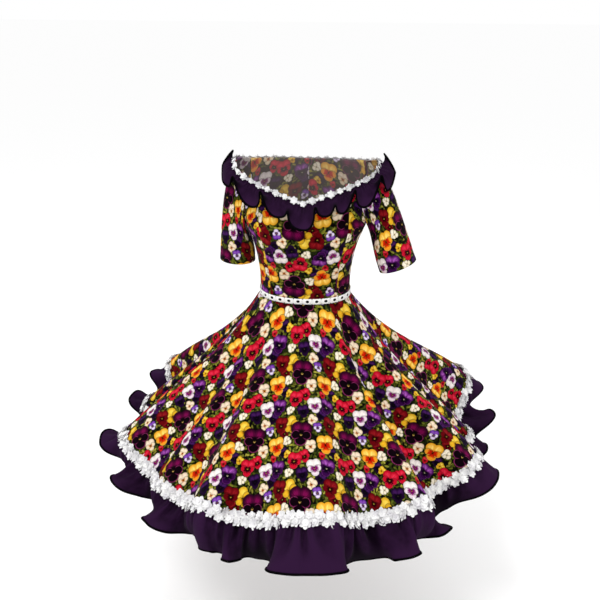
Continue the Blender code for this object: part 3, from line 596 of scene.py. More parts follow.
# The other cloths: two close shades in patches, patches and threads to the metre
PlainCloth = namedtuple("PlainCloth", "name dark pale patches roughness sheen threads relief")
BINDING = PlainCloth("binding", (5, 4, 6), (10, 9, 11), 90.0, 0.7, 0.0, 1200.0, 0.0002)
LACE = PlainCloth("lace", (212, 210, 214), (250, 250, 248), 70.0, 0.8, 0.1, 1600.0, 0.0003)
RIBBON = PlainCloth("ribbon", (12, 11, 14), (20, 18, 22), 90.0, 0.35, 0.1, 1500.0, 0.0001)
TRIM = PlainCloth("trim", (226, 226, 224), (242, 242, 240), 400.0, 0.8, 0.2, 1300.0, 0.0003)
PURPLE = PlainCloth("purple cloth", (28, 12, 32), (36, 17, 41), 60.0, 0.6, 0.02, 1400.0, 0.0002)
# Painted shade for the frills' fold hollows and a painted highlight for their crests, in sRGB
PURPLE_PAINTED_HOLLOW_SHADE = (12, 4, 14)
PURPLE_PAINTED_CREST_HIGHLIGHT = (43, 21, 49)
DRIFT_RANGE = (0.25, 0.75)
# Fold heights over which the painted crest highlight and the painted hollow shade come in
PAINTED_CREST_HIGHLIGHT_RANGE = (0.15, 1.0)
PAINTED_HOLLOW_SHADE_RANGE = (-0.15, -1.0)
PRINT_ROUGHNESS = 0.62
PRINT_SHEEN = 0.03
PRINT_THREADS = 1500.0
PRINT_RELIEF = 0.0002
NET_THREAD = (226, 226, 224)
NET_HOLE = (78, 66, 80)
NET_CELLS = 420.0
NET_ROUGHNESS = 0.8
NET_RELIEF = 0.0003
HOLE_RANGE = (0.10, 0.20)


def linear(colour):
    """A scene colour from sRGB numbers of 0 to 255."""
    share = np.array(colour) / 255.0
    value = np.where(share <= 0.04045, share / 12.92, ((share + 0.055) / 1.055) ** 2.4)
    return (*value.tolist(), 1.0)


class Nodes:
    """A new material, and short calls that add nodes to it. An input is an output or a value."""

    def __init__(self, name, roughness, sheen=0.0):
        self.material = bpy.data.materials.new(name)
        self.material.use_nodes = True
        self.tree = self.material.node_tree
        self.shader = self.tree.nodes["Principled BSDF"]
        self.shader.inputs["Roughness"].default_value = roughness
        self.shader.inputs["Sheen Weight"].default_value = sheen
        self.shader.inputs["Specular IOR Level"].default_value = 0.0

    def add(self, kind, inputs, **settings):
        node = self.tree.nodes.new(kind)
        for key, value in settings.items():
            setattr(node, key, value)
        for place, value in inputs.items():
            if isinstance(value, bpy.types.NodeSocket):
                self.tree.links.new(value, node.inputs[place])
            else:
                node.inputs[place].default_value = value
        return node

    def math(self, operation, *values):
        node = self.add("ShaderNodeMath", dict(enumerate(values)), operation=operation)
        return node.outputs[0]

    def times(self, value, *others):
        for other in others:
            value = self.math("MULTIPLY", value, other)
        return value

    def vector(self, operation, *values):
        node = self.add("ShaderNodeVectorMath", dict(enumerate(values)), operation=operation)
        return node.outputs["Value" if operation in ("LENGTH", "DISTANCE") else "Vector"]

    def parts(self, vector):
        return self.add("ShaderNodeSeparateXYZ", {"Vector": vector}).outputs

    def join(self, x, y, z=0.0):
        return self.add("ShaderNodeCombineXYZ", {"X": x, "Y": y, "Z": z}).outputs[0]

    def mix(self, share, a, b, kind="RGBA"):
        first = {"FLOAT": 2, "VECTOR": 4, "RGBA": 6}[kind]
        inputs = {0: share, first: a, first + 1: b}
        return self.add("ShaderNodeMix", inputs, data_type=kind).outputs[first // 2 - 1]

    def rise(self, value, low, high):
        """From 0 at low to 1 at high, smoothly."""
        inputs = {"Value": value, "From Min": low, "From Max": high}
        return self.add("ShaderNodeMapRange", inputs, interpolation_type="SMOOTHSTEP").outputs[0]

    def between(self, value, low, high):
        """From low at 0 to high at 1."""
        return self.mix(value, low, high, "FLOAT")

    def dimmed(self, colour, light):
        return self.mix(light, BLACK, colour)

    def noise(self, place, scale, detail=2.0, output="Fac"):
        inputs = {"Vector": place, "Scale": scale, "Detail": detail}
        return self.add("ShaderNodeTexNoise", inputs).outputs[output]

    def placed(self, place, location, turn, scale):
        """The place as seen from a frame at location, turned and scaled."""
        rotation = (0.0, 0.0, turn)
        inputs = {"Vector": place, "Location": location, "Rotation": rotation, "Scale": scale}
        return self.add("ShaderNodeMapping", inputs, vector_type="TEXTURE").outputs[0]

    def steps(self, share, colours):
        """One of the colours, in equal steps of the share."""
        node = self.add("ShaderNodeValToRGB", {"Fac": share})
        ramp = node.color_ramp
        ramp.interpolation = "CONSTANT"
        for i, colour in enumerate(colours):
            stop = ramp.elements[0] if i == 0 else ramp.elements.new(i / len(colours))
            stop.position = i / len(colours)
            stop.color = colour
        ramp.elements.remove(ramp.elements[-1])
        return node.outputs

    def cloth(self):
        """Each point's place along the cloth, in metres."""
        return self.add("ShaderNodeUVMap", {}, uv_map="cloth").outputs[0]

    def drift(self, place, patches, dark, pale):
        share = self.rise(self.noise(place, patches), *DRIFT_RANGE)
        return self.mix(share, linear(dark), linear(pale))

    def finished(self, colour, relief, depth):
        """The material with this colour and this relief."""
        bump = self.add("ShaderNodeBump", {"Height": relief, "Distance": depth})
        self.tree.links.new(bump.outputs[0], self.shader.inputs["Normal"])
        self.tree.links.new(colour, self.shader.inputs["Base Color"])
        return self.material

    def woven(self, colour, place, threads, depth):
        """The material with this colour and a fine relief of threads."""
        return self.finished(colour, self.noise(place, threads, 1.0), depth)


def bloom_layer(nodes, place, layer):
    """Each point's place in its flower of this layer, in half widths, with the flower's kind as Z."""
    names = [kind.name for kind in KINDS]
    found = NOWHERE
    for bloom in BLOOMS:
        if bloom.layer != layer:
            continue
        x, y, size = bloom.x * MM, bloom.y * MM, bloom.size * MM
        high = (x + REPEAT[0] / 2, y + REPEAT[1] / 2, 0.0)
        low = (x - REPEAT[0] / 2, y - REPEAT[1] / 2, 0.0)
        here = nodes.vector("WRAP", place, high, low)
        distance = nodes.vector("DISTANCE", here, (x, y, 0.0))
        near = nodes.math("LESS_THAN", distance, BLOOM_REACH * size)
        middle = (x, y, -float(names.index(bloom.kind)))
        local = nodes.placed(here, middle, math.radians(bloom.turn), (size, size, 1.0))
        found = nodes.mix(near, found, local, "VECTOR")
    return found


def petal_reaches(nodes, local):
    """How far out a point lies in the side, lower and upper petals, 1 at their edges."""
    parts = nodes.parts(local)
    folded = nodes.join(nodes.math("ABSOLUTE", parts["X"]), parts["Y"])
    reaches = []
    for petal in (SIDE_PETAL, LOWER_PETAL, UPPER_PETAL):
        scale = (petal.half_width, petal.half_height, 1.0)
        inside = nodes.placed(folded, (petal.x, petal.y, 0.0), 0.0, scale)
        reaches.append(nodes.vector("LENGTH", inside))
    return reaches


def print_colour(nodes, cloth):
    """The colour of the flower print, from the places along the cloth."""
    wobble = nodes.noise(cloth, WOBBLE_SCALE, WOBBLE_DETAIL, "Color")
    place = nodes.vector("MULTIPLY_ADD", wobble, (PRINT_WOBBLE, PRINT_WOBBLE, 0.0), cloth)
    shown = NOWHERE
    light = 1.0
    covered_at_all = 0.0
    for layer in (2, 1, 0):
        local = bloom_layer(nodes, place, layer)
        side, lower, upper = petal_reaches(nodes, local)
        nearest = nodes.math("MINIMUM", nodes.math("MINIMUM", side, lower), upper)
        covered = nodes.math("LESS_THAN", nearest, 1.0)
        beyond = nodes.rise(nearest, 1.0, BLOOM_SHADOW_REACH)
        shadow = nodes.between(beyond, BLOOM_SHADOW, 1.0)
        light = nodes.mix(covered, nodes.times(light, shadow), 1.0, "FLOAT")
        shown = nodes.mix(covered, shown, local, "VECTOR")
        covered_at_all = nodes.math("MAXIMUM", covered, covered_at_all)
    colour = nodes.mix(covered_at_all, ground_colour(nodes, place), flower_colour(nodes, shown))
    return nodes.dimmed(colour, light)


def flower_colour(nodes, local):
    """A flower's colour from the place in it: upper petals, face, rim, blotch, eye and shading."""
    side, lower, upper = petal_reaches(nodes, local)
    in_side = nodes.math("LESS_THAN", side, 1.0)
    in_lower = nodes.math("LESS_THAN", lower, 1.0)
    front = nodes.math("MINIMUM", side, lower)
    in_face = nodes.math("LESS_THAN", front, 1.0)
    out_to = nodes.mix(in_lower, upper, lower, "FLOAT")
    out_to = nodes.mix(in_side, out_to, side, "FLOAT")
    over = nodes.mix(in_lower, front, side, "FLOAT")
    contact = nodes.mix(in_side, nodes.rise(over, 1.0, PETAL_SHADOW_REACH), 1.0, "FLOAT")

    parts = nodes.parts(local)
    kind = nodes.math("DIVIDE", nodes.math("ADD", parts["Z"], 0.5), float(len(KINDS)))
    from_eye = nodes.math("SUBTRACT", parts["Y"], EYE_HEIGHT)
    bearing = nodes.math("ARCTAN2", nodes.math("ABSOLUTE", parts["X"]), from_eye)
    radius = nodes.vector("LENGTH", nodes.join(parts["X"], from_eye))
    rays = nodes.join(nodes.times(bearing, STREAKS), radius, parts["Z"])
    streak = nodes.rise(nodes.noise(rays, 1.0), *STREAK_RANGE)
    tints = {
        tint: nodes.steps(kind, [linear(getattr(k, tint)) for k in KINDS])["Color"]
        for tint in ("upper", "glow", "face", "rim", "eye")
    }
    blotch = nodes.steps(kind, [(*linear(k.blotch)[:3], k.spread) for k in KINDS])

    glow = nodes.rise(out_to, *GLOW_RANGE)
    glow = nodes.times(glow, nodes.between(streak, GLOW_STREAK, 1.0))
    colour = nodes.mix(glow, tints["upper"], tints["glow"])
    colour = nodes.mix(in_face, colour, tints["face"])
    spread = nodes.times(blotch["Alpha"], nodes.between(in_face, UPPER_BLOTCH, 1.0))
    spread = nodes.math("ADD", spread, nodes.between(streak, *BLOTCH_STREAK))
    in_blotch = nodes.rise(nodes.math("SUBTRACT", spread, radius), *BLOTCH_EDGE)
    colour = nodes.mix(in_blotch, colour, blotch["Color"])
    at_rim = nodes.times(
        nodes.rise(out_to, *RIM_RANGE),
        in_face,
        nodes.rise(radius, *RIM_FROM_EYE),
        nodes.between(streak, RIM_STREAK, 1.0),
    )
    colour = nodes.mix(at_rim, colour, tints["rim"])
    colour = nodes.mix(nodes.rise(radius, *EYE_RANGE), colour, tints["eye"])

    shade = nodes.times(
        nodes.between(contact, PETAL_SHADOW, 1.0),
        nodes.between(nodes.rise(out_to, *PETAL_LINE_RANGE), 1.0, PETAL_LINE),
        nodes.between(nodes.rise(out_to, *PETAL_SLOPE_RANGE), 1.0, PETAL_SLOPE),
        nodes.between(streak, STREAK_SHADE, 1.0),
    )
    return nodes.dimmed(colour, shade)


def leaf_layer(nodes, place, cells, under, light):
    """One leaf in each cell of this layer, turned at random, over the colour under it."""
    found = nodes.add(
        "ShaderNodeTexVoronoi", {"Vector": place, "Scale": cells}, voronoi_dimensions="2D"
    ).outputs
    chance = nodes.add("ShaderNodeSeparateColor", {"Color": found["Color"]}).outputs
    local = nodes.vector("SUBTRACT", place, found["Position"])
    inputs = {"Vector": local, "Angle": nodes.times(chance[0], 2 * math.pi)}
    local = nodes.add("ShaderNodeVectorRotate", inputs, rotation_type="Z_AXIS").outputs[0]
    parts = nodes.parts(local)
    across = nodes.math("ABSOLUTE", nodes.times(parts["Y"], cells / LEAF_WIDTH))
    ahead = nodes.times(parts["X"], cells / LEAF_LENGTH)
    width = nodes.math("SUBTRACT", 1.0, nodes.times(ahead, ahead))
    reach = nodes.math("DIVIDE", across, nodes.math("MAXIMUM", width, LEAF_LEAST_WIDTH))
    green = nodes.steps(chance[1], [linear(green) for green in LEAF_GREENS])["Color"]
    rib = nodes.between(nodes.rise(across, *RIB_RANGE), RIB_LIGHT, 1.0)
    edge = nodes.between(nodes.rise(reach, *LEAF_EDGE_RANGE), 1.0, LEAF_EDGE_LIGHT)
    leaf = nodes.dimmed(green, nodes.times(rib, edge, light))
    return nodes.mix(nodes.rise(reach, *LEAF_CUT), under, leaf)


def ground_colour(nodes, place):
    """Small leaves on near-black, between the flowers, brighter in patches."""
    patch = nodes.rise(nodes.noise(place, PATCH_SCALE), *PATCH_RANGE)
    light = nodes.between(patch, *PATCH_LIGHT)
    moved = nodes.vector("ADD", place, UNDER_LEAF_SHIFT)
    dim = nodes.times(light, UNDER_LEAF_LIGHT)
    under = leaf_layer(nodes, moved, UNDER_LEAF_CELLS, linear(GROUND), dim)
    return leaf_layer(nodes, place, LEAF_CELLS, under, light)


def print_material(name, wash):
    """The printed cloth, with a wash of grey over it on its wrong side."""
    nodes = Nodes(name, PRINT_ROUGHNESS, PRINT_SHEEN)
    cloth = nodes.cloth()
    inputs = {"Color": print_colour(nodes, cloth), "Gamma": PRINT_GAMMA}
    colour = nodes.add("ShaderNodeGamma", inputs).outputs[0]
    if wash:
        colour = nodes.mix(wash, colour, linear(WASH_GREY))
    return nodes.woven(colour, cloth, PRINT_THREADS, PRINT_RELIEF)


def plain_material(kind, folds=False):
    """Plain cloth that drifts between two close shades. With folds, it has painted shade in their
    hollows and a painted highlight on their crests."""
    nodes = Nodes(kind.name, kind.roughness, kind.sheen)
    cloth = nodes.cloth()
    colour = nodes.drift(cloth, kind.patches, kind.dark, kind.pale)
    if folds:
        fold = nodes.add("ShaderNodeAttribute", {}, attribute_name="fold").outputs["Fac"]
        # painted shade in the fold hollows, then a painted highlight on the crests
        colour = nodes.mix(nodes.rise(fold, *PAINTED_HOLLOW_SHADE_RANGE), colour, linear(PURPLE_PAINTED_HOLLOW_SHADE))
        colour = nodes.mix(nodes.rise(fold, *PAINTED_CREST_HIGHLIGHT_RANGE), colour, linear(PURPLE_PAINTED_CREST_HIGHLIGHT))
    return nodes.woven(colour, cloth, kind.threads, kind.relief)


def net_material():
    """Net of raised threads round its holes."""
    nodes = Nodes("lace net", NET_ROUGHNESS)
    inputs = {"Vector": nodes.cloth(), "Scale": NET_CELLS}
    settings = {"feature": "DISTANCE_TO_EDGE", "voronoi_dimensions": "2D"}
    edge = nodes.add("ShaderNodeTexVoronoi", inputs, **settings).outputs["Distance"]
    in_hole = nodes.rise(edge, *HOLE_RANGE)
    colour = nodes.mix(in_hole, linear(NET_THREAD), linear(NET_HOLE))
    return nodes.finished(colour, nodes.math("SUBTRACT", 1.0, in_hole), NET_RELIEF)


# Bodice

BODICE_ROWS = (44, 28)
CENTRE_COLUMNS = 96
SIDE_COLUMNS = 48
BACK_COLUMNS = 88
CREASE_RADIUS = 0.125
SEAM_OVERLAP = 0.25

# The column that each piece's print hangs from, the print's place there, and its way up
PiecePrint = namedtuple("PiecePrint", "grain place way")
BODICE_PRINTS = {
    "bodice_front_centre": PiecePrint(48, (0.012, 0.004), -1.0),
    "bodice_front_side_left": PiecePrint(20, (0.034, 0.082), 1.0),
    "bodice_back_left": PiecePrint(50, (0.071, 0.120), 1.0),
    "bodice_front_side_right": PiecePrint(20, (0.094, 0.024), 1.0),
    "bodice_back_right": PiecePrint(50, (0.026, 0.066), 1.0),
}


def outer_edge(corner, split, v):
    """(angle, height) up the side seam and then up the armhole."""
    side = np.stack([np.full_like(v, 90.0), UNDERARM_HEIGHT * v / split], -1)
    hole = armhole(corner, np.clip((v - split) / (1.0 - split), 0.0, 1.0))
    return np.where((v <= split)[:, None], side, hole)


def panel(inner, outer, v, columns):
    """(angle, height) grid between two edges, whose last row lies on the neckline."""
    u = np.linspace(0.0, 1.0, columns + 1)[None, :, None]
    grid = inner[:, None] * (1 - u) + outer[:, None] * u
    lift = neck_height(grid[-1, :, 0]) - grid[-1, :, 1]
    grid[..., 1] += v[:, None] * lift[None, :]
    return grid


def bodice_piece(name, places, flip, cloths):
    """A panel as a thin shell: its seams sunk a little, its creases pressed in."""
    grain, print_place, way = BODICE_PRINTS[name]
    if flip:
        places = places[:, ::-1] * np.array([-1.0, 1.0])
        grain = places.shape[1] - 1 - grain
    places = places[::-1].copy()
    places[:, 0, 0] -= SEAM_OVERLAP
    places[:, -1, 0] += SEAM_OVERLAP
    angle, height = places[..., 0], places[..., 1]
    out = torso_out(angle, height)
    points = torso(angle, height) + out * CLOTH
    lengths = cloth_lengths(points, grain)
    across = lengths[..., 0]
    points = sunk(points, out, np.minimum(across - across[:, :1], across[:, -1:] - across))
    # a crease's angle may be a whole turn away from the panel's
    for turn in (-360.0, 0.0, 360.0):
        lines = np.stack([np.radians(angle - turn) * CREASE_RADIUS, height], -1)
        points = creased(points, out, lines, crease_places(BODICE_CREASES, bodice_place))
    obj = printed_piece(name, points, lengths * way + print_place, cloths)


def bodice_place(angle, height):
    return np.array([math.radians(angle) * CREASE_RADIUS, height * MM])


def make_bodice(cloths):
    lower, upper = BODICE_ROWS
    top = float(neck_height(PRINCESS_TOP))
    split = UNDERARM_HEIGHT / top
    v = np.concatenate([np.linspace(0, split, lower + 1), np.linspace(split, 1, upper + 1)[1:]])
    princess = np.stack([through(PRINCESS_SEAM, "height", "angle", v * top), v * top], -1)
    centre_back = np.stack([np.full_like(v, 180.0), v * float(neck_height(180.0))], -1)
    centre = panel(princess * [-1.0, 1.0], princess, v, CENTRE_COLUMNS)
    side = panel(princess, outer_edge(FRONT_CORNER, split, v), v, SIDE_COLUMNS)
    back = panel(outer_edge(BACK_CORNER, split, v), centre_back, v, BACK_COLUMNS)
    bodice_piece("bodice_front_centre", centre, False, cloths)
    for hand, flip in (("left", False), ("right", True)):
        bodice_piece(f"bodice_front_side_{hand}", side, flip, cloths)
        bodice_piece(f"bodice_back_{hand}", back, flip, cloths)


# Sleeves

SLEEVE_COLUMNS = (56, 44)
SLEEVE_ROWS = 72
SLEEVE_RADIUS = 0.049
CUFF_FOLD = 0.018
CUFF_STITCH_DIP = 0.0005
CORNER_COLUMNS = 20
SLEEVE_PRINTS = {"left": (0.058, 0.012), "right": (0.006, 0.108)}
SLEEVE_CREASE_SHIFTS = {"left": (0.0, 0.0), "right": (11.0, 9.0)}


def sleeve_head():
    """The head's loop from the underarm forward: (angle, height), on the neckline or not, how far
    up the armhole, and its turn round the cuff."""
    up, across = SLEEVE_COLUMNS
    q = np.linspace(0.0, 1.0, up + 1)
    front = armhole(FRONT_CORNER, q)
    back = armhole(BACK_CORNER, q)[::-1]
    angles = np.linspace(FRONT_CORNER, BACK_CORNER, across + 1)[1:-1]
    neck = np.stack([angles, neck_height(angles)], -1)
    loop = np.concatenate([front, neck, back[:-1]])
    columns = np.arange(len(loop))
    on_neck = (columns >= up) & (columns <= up + across)
    climb = np.concatenate([q, np.ones(across - 1), q[::-1][:-1]])
    corners = np.cumsum([0, up, across, up])
    turns = (0.0, FRONT_CORNER_TURN, 360.0 - FRONT_CORNER_TURN, 360.0)
    return loop, on_neck[:, None], climb[:, None], np.interp(columns, corners, turns)


def sleeve_surface(sleeve):
    """The sleeve's inner face and outward directions, laid out as a left sleeve."""
    loop, on_neck, climb, turn = sleeve_head()
    angle, height = loop[:, 0], loop[:, 1]
    away, neck_out = neck_frame(angle)[1:]
    surface_out = torso_out(angle, height)
    head_out = np.where(on_neck, neck_out, surface_out)
    head = torso(angle, height) + head_out * (CLOTH + SEAM_GAP)

    tilt = math.radians(sleeve.tilt)
    swing = math.radians(sleeve.swing)
    down = unit(np.array([math.sin(tilt), -math.sin(swing), -math.cos(tilt)]))
    side = unit(np.cross([0.0, 1.0, 0.0], -down))
    fore = np.cross(down, side)
    t = np.radians(turn)[:, None]
    centre = np.abs(sleeve.cuff_centre) * [1.0, np.sign(sleeve.cuff_centre[1]), 1.0]
    cuff = centre - np.cos(t) * side * sleeve.half_width + np.sin(t) * fore * sleeve.half_depth

    sideways = unit(np.cross(surface_out, np.roll(head, -1, 0) - np.roll(head, 1, 0)))
    sideways = sideways * np.where(sideways[:, :1] < 0, -1.0, 1.0)
    hang = unit(down + HEAD_FLARE * sideways * climb**2 + HEAD_LEAN * surface_out)
    leave = np.where(on_neck, away, hang)
    pull = np.where(on_neck, NECK_PULL, HEAD_PULL)
    # beside its corners the neckline's stretch turns to hang as the armhole's does
    up, across = SLEEVE_COLUMNS
    for corner, beside in ((up, up - 1), (up + across, up + across + 1)):
        apart = np.abs(np.arange(len(loop)) - corner)[:, None]
        share = np.where(on_neck, 1.0 - smooth_step(apart / CORNER_COLUMNS), 0.0)
        leave = unit(leave + share * (hang[beside] - leave))
        pull = pull + share * (HEAD_PULL - pull)
    reach = np.linalg.norm(cuff - head, axis=1)[:, None]
    middle = head + leave * reach * pull
    lower = cuff - down * reach * CUFF_PULL
    rows = np.linspace(0.0, 1.0, SLEEVE_ROWS + 1)[:, None, None]
    grid = bezier((head, middle, lower, cuff), rows)
    out = grid_out(grid, True)
    out[0] = head_out
    return grid, out, turn


def sleeve_place(turn, down):
    return np.array([math.radians(turn) * SLEEVE_RADIUS, down * MM])


def make_sleeve(sleeve, cloths):
    grid, out, turn = sleeve_surface(sleeve)
    top = int(np.argmin(np.abs(turn - 180.0)))
    points = grid + out * CLOTH
    uv = cloth_lengths(np.concatenate([points, points[:, :1]], axis=1), top)
    from_cuff = uv[:, :-1, 1]
    from_head = run_lengths(points)
    round_it = np.radians(wrapped(turn)) * SLEEVE_RADIUS
    lines = np.stack([np.broadcast_to(round_it, from_head.shape), from_head], -1)
    lines = lines - sleeve_place(*SLEEVE_CREASE_SHIFTS[sleeve.side])
    points = creased(points, out, lines, crease_places(SLEEVE_CREASES, sleeve_place))
    points = sunk(points, out, from_cuff - CUFF_FOLD, CUFF_STITCH_DIP)
    points = sunk(points, out, from_head)
    uv = uv + SLEEVE_PRINTS[sleeve.side]
    if sleeve.side == "right":
        points = np.roll(points[:, ::-1], 1, axis=1) * [-1.0, 1.0, 1.0]
        uv = uv[:, ::-1] * [-1.0, 1.0]
    obj = printed_piece(f"sleeve_{sleeve.side}", points, uv, cloths, closed=True)


# Skirt

SKIRT_COLUMNS = 460
SKIRT_ROWS = 64
SKIRT_PRINT_PLACES = ((0.031, 0.055), (0.080, 0.010))

# Soft creases of the skirt: (degrees round the flat cut, millimetres below the waist)
SKIRT_CREASES = tuple(Crease(*row) for row in (
    ((-62, 12), (-58, 190), 7.0, -1.8), ((-41, 8), (-38, 150), 6.0, -1.4),
    ((-27, 20), (-25, 240), 8.0, -1.6), ((-8, 10), (-7, 170), 7.0, -1.2),
    ((14, 12), (15, 210), 7.0, -1.5), ((33, 6), (31, 140), 6.0, -1.4),
    ((52, 14), (49, 230), 8.0, -1.7), ((70, 8), (69, 160), 6.0, -1.3),
    ((-77, 10), (-76, 130), 6.0, -1.2), ((-50, 250), (-47, 470), 10.0, 1.8),
    ((-16, 230), (-14, 450), 10.0, 1.6), ((7, 280), (6, 480), 11.0, -1.8),
    ((26, 260), (27, 470), 10.0, 1.6), ((44, 300), (45, 480), 9.0, -1.6),
    ((-33, 330), (-34, 490), 9.0, -1.5), ((64, 280), (63, 460), 10.0, 1.6),
))


def fold_plan(folds, angle):
    """Plan points of the closed curve through the folds, at station angles."""
    folds, angle = come_round(folds, angle)
    knots, radius, curl = (column(folds, name) for name in Fold._fields)
    i, t = between_knots(knots, angle)
    k = np.radians(knots)
    point = np.stack([radius * np.sin(k), -radius * np.cos(k)], -1)
    tangent = np.stack([np.cos(k), np.sin(k)], -1)
    gap = (radius[i] + radius[i + 1]) / 2 * (k[i + 1] - k[i])
    return rounded(point, tangent, curl, gap, i, t)


def waist_plan(fractions, half):
    """Plan points of the waist at fractions of the front (half 0) or back (half 1) waist."""
    angles = np.linspace(-90.0, 90.0, LENGTH_STEPS) + 180.0 * half
    line = torso(angles, 0.0)[:, :2]
    share = length_fractions(line)
    return np.stack([np.interp(fractions, share, line[:, k]) for k in (0, 1)], -1)


def half_shares(half):
    """Station angles of one half of the skirt and the share of its hem's length at each."""
    fine = np.linspace(-90.0, 90.0, HALF_STEPS) + 180.0 * half
    return fine, length_fractions(fold_plan(SKIRT_FOLDS, fine))


def skirt_lines(stations):
    """For each station: the waist point, the skirt's lower edge and the frill's edge."""
    waist = np.empty((len(stations), 2))
    for half in (0, 1):
        fine, share = half_shares(half)
        inside = (stations >= fine[0]) & (stations <= fine[-1])
        waist[inside] = waist_plan(np.interp(stations[inside], fine, share), half)
    top = np.column_stack([waist, np.full(len(stations), -SEAM_GAP)])
    edge = fold_plan(SKIRT_FOLDS, stations)
    across = np.linalg.norm(edge - waist, axis=1)
    edge = np.column_stack([edge, -np.sqrt(SKIRT_CLOTH**2 - across**2)])
    hem = fold_plan(HEM_FOLDS, stations)
    hem = hem - unit(hem) * BINDING_WIDTH
    pulled_in = HEM_RADIUS - np.linalg.norm(hem, axis=1)
    hem = np.column_stack([hem, -HEM_DROP - HEM_DROP_SLOPE * pulled_in])
    return top, edge, hem


def skirt_grid(stations, t):
    top, edge, _ = skirt_lines(stations)
    t = np.asarray(t, float)[:, None, None]
    deepest = 4 / 27
    sag = t * (1 - t) ** 2 / deepest * SKIRT_SAG
    return top + (edge - top) * t - sag * np.array([0.0, 0.0, 1.0])


def frill_curve(stations):
    """The hem frill leaves along the skirt's slope and bends to its edge: its curve and reach."""
    _, edge, hem = skirt_lines(stations)
    before = skirt_grid(stations, [NEAR_HEM])[0]
    reach = np.linalg.norm(hem - edge, axis=1)[:, None]
    return (edge, edge + unit(edge - before) * reach * FRILL_PULL, hem), reach


def flat_places(share, t):
    """Where a half's cloth lies in its flat cut, a half ring upright at its middle."""
    turn = (share - 0.5) * math.pi
    radius = WAIST_CUT_RADIUS + SKIRT_CLOTH * t
    return np.stack([np.outer(radius, np.sin(turn)), -np.outer(radius, np.cos(turn))], -1)


def skirt_place(degrees, below):
    return flat_places(0.5 + degrees / 180.0, below * MM / SKIRT_CLOTH)[0, 0]


def make_skirt(cloths):
    share = np.linspace(0.0, 1.0, SKIRT_COLUMNS + 1)
    t = np.linspace(0.0, 1.0, SKIRT_ROWS + 1)
    creases = crease_places(SKIRT_CREASES, skirt_place)
    flat = flat_places(share, t)
    for half, name in enumerate(("skirt_front", "skirt_back")):
        fine, shares = half_shares(half)
        grid = skirt_grid(np.interp(share, shares, fine), t)
        out = grid_out(grid, False)
        points = creased(grid + out * CLOTH, out, flat, creases)
        edges = (points[:, :1], points[:, -1:])
        from_edge = np.minimum(*(np.linalg.norm(edge - points, axis=2) for edge in edges))
        points = sunk(points, out, from_edge)
        obj = printed_piece(name, points, flat + SKIRT_PRINT_PLACES[half], cloths)


# Frills and their bindings

FRILL_COLUMNS = 2600
FRILL_ROWS = 20
NECK_FRILL_COLUMNS = 1500
NECK_FRILL_ROWS = 18
LEAST_WAVE = 0.35
# How much the waves' depth adds to the fold height that the painted shade and highlight follow
WAVE_SHADE = 4.0
BINDING_SECTION = 12
BINDING_SQUARENESS = 0.75
BINDING_AHEAD = 0.42
NECK_HANGS_BELOW = -0.022
NECK_LOBE_CURL = 1.1
NECK_NOTCH_CURL = 0.25

# Waves round a frill: the seed of their draw, their shortest and longest, and their height
Wave = namedtuple("Wave", "seed shortest longest height")
HEM_GATHERS = Wave(11, 0.016, 0.038, 0.0026)
HEM_WAVES = Wave(12, 0.042, 0.090, 0.0055)
NECK_GATHERS = Wave(31, 0.009, 0.022, 0.0015)

# A wave's change down its frill, in shares of the way: its start, its span and its amount
Change = namedtuple("Change", "start span amount")
HEM_START = Change(0.0, 0.16, 0.7)
HEM_GATHERS_END = Change(0.12, 0.5, 0.95)
HEM_WAVES_END = Change(0.35, 0.65, 0.7)
NECK_START = Change(0.0, 0.15, 1.0)
NECK_GATHERS_END = Change(0.2, 0.5, 0.95)

# For the folds' painted shade in hollows and painted highlight on crests: the height of a full fold
# over the mean level of its surroundings, and how many columns these reach to each side
Shading = namedtuple("Shading", "height window")
HEM_SHADING = Shading(0.035, 170)
NECK_SHADING = Shading(0.016, 60)


def irregular_wave(columns, length, wave):
    """A wave round a closed edge, uneven in its lengths and heights."""
    dice = np.random.default_rng(wave.seed)
    count = 2 * int(length / (wave.shortest + wave.longest))
    knots = np.cumsum(dice.uniform(wave.shortest, wave.longest, 2 * count))
    knots = np.concatenate([[0.0], knots]) / knots[-1]
    heights = dice.uniform(LEAST_WAVE, 1.0, 2 * count) * np.tile([1.0, -1.0], count)
    heights = np.append(heights, heights[0])
    i, t = between_knots(knots, np.arange(columns) / columns)
    return wave.height * (heights[i] + (heights[i + 1] - heights[i]) * smooth_step(t))


def grows(t, change):
    return 1.0 - change.amount * (1.0 - smooth_step((t - change.start) / change.span))


def fades(t, change):
    return 1.0 - change.amount * smooth_step((t - change.start) / change.span)


def mark_folds(mesh, height, shading):
    """Each point's height in its folds, -1 deep in a hollow and 1 on a crest, for the material's
    painted shade and highlight.
    """
    window = shading.window
    kernel = np.ones(2 * window + 1) / (2 * window + 1)
    padded = np.concatenate([height[:, -window:], height, height[:, :window]], axis=1)
    level = np.stack([np.convolve(row, kernel, "valid") for row in padded])
    layer = mesh.attributes.new("fold", "FLOAT", "POINT")
    fold = np.clip((height - level) / shading.height, -1.0, 1.0)
    layer.data.foreach_set("value", fold.reshape(-1).astype(np.float32))


def make_frill(node, grid, out, depth, up, height, shading, cloth, binding):
    """A frill on its grid, with its waves' depth, each row's height over the edge on the flat
    cloth, and the fold sizes that its painted shade and highlight follow."""
    points = grid + out * (FRILL_CLOTH / 2 + depth)[..., None]
    length = closed_length(grid[-1])
    mesh = grid_mesh(points, band_uv(length, grid.shape[1], up), closed=True)
    mark_folds(mesh, height + WAVE_SHADE * depth, shading)
    obj = add_piece(node, "cloth", mesh, "frill_cloth", cloth)
    bound = make_binding(f"{node}_binding", points, out, length, binding)


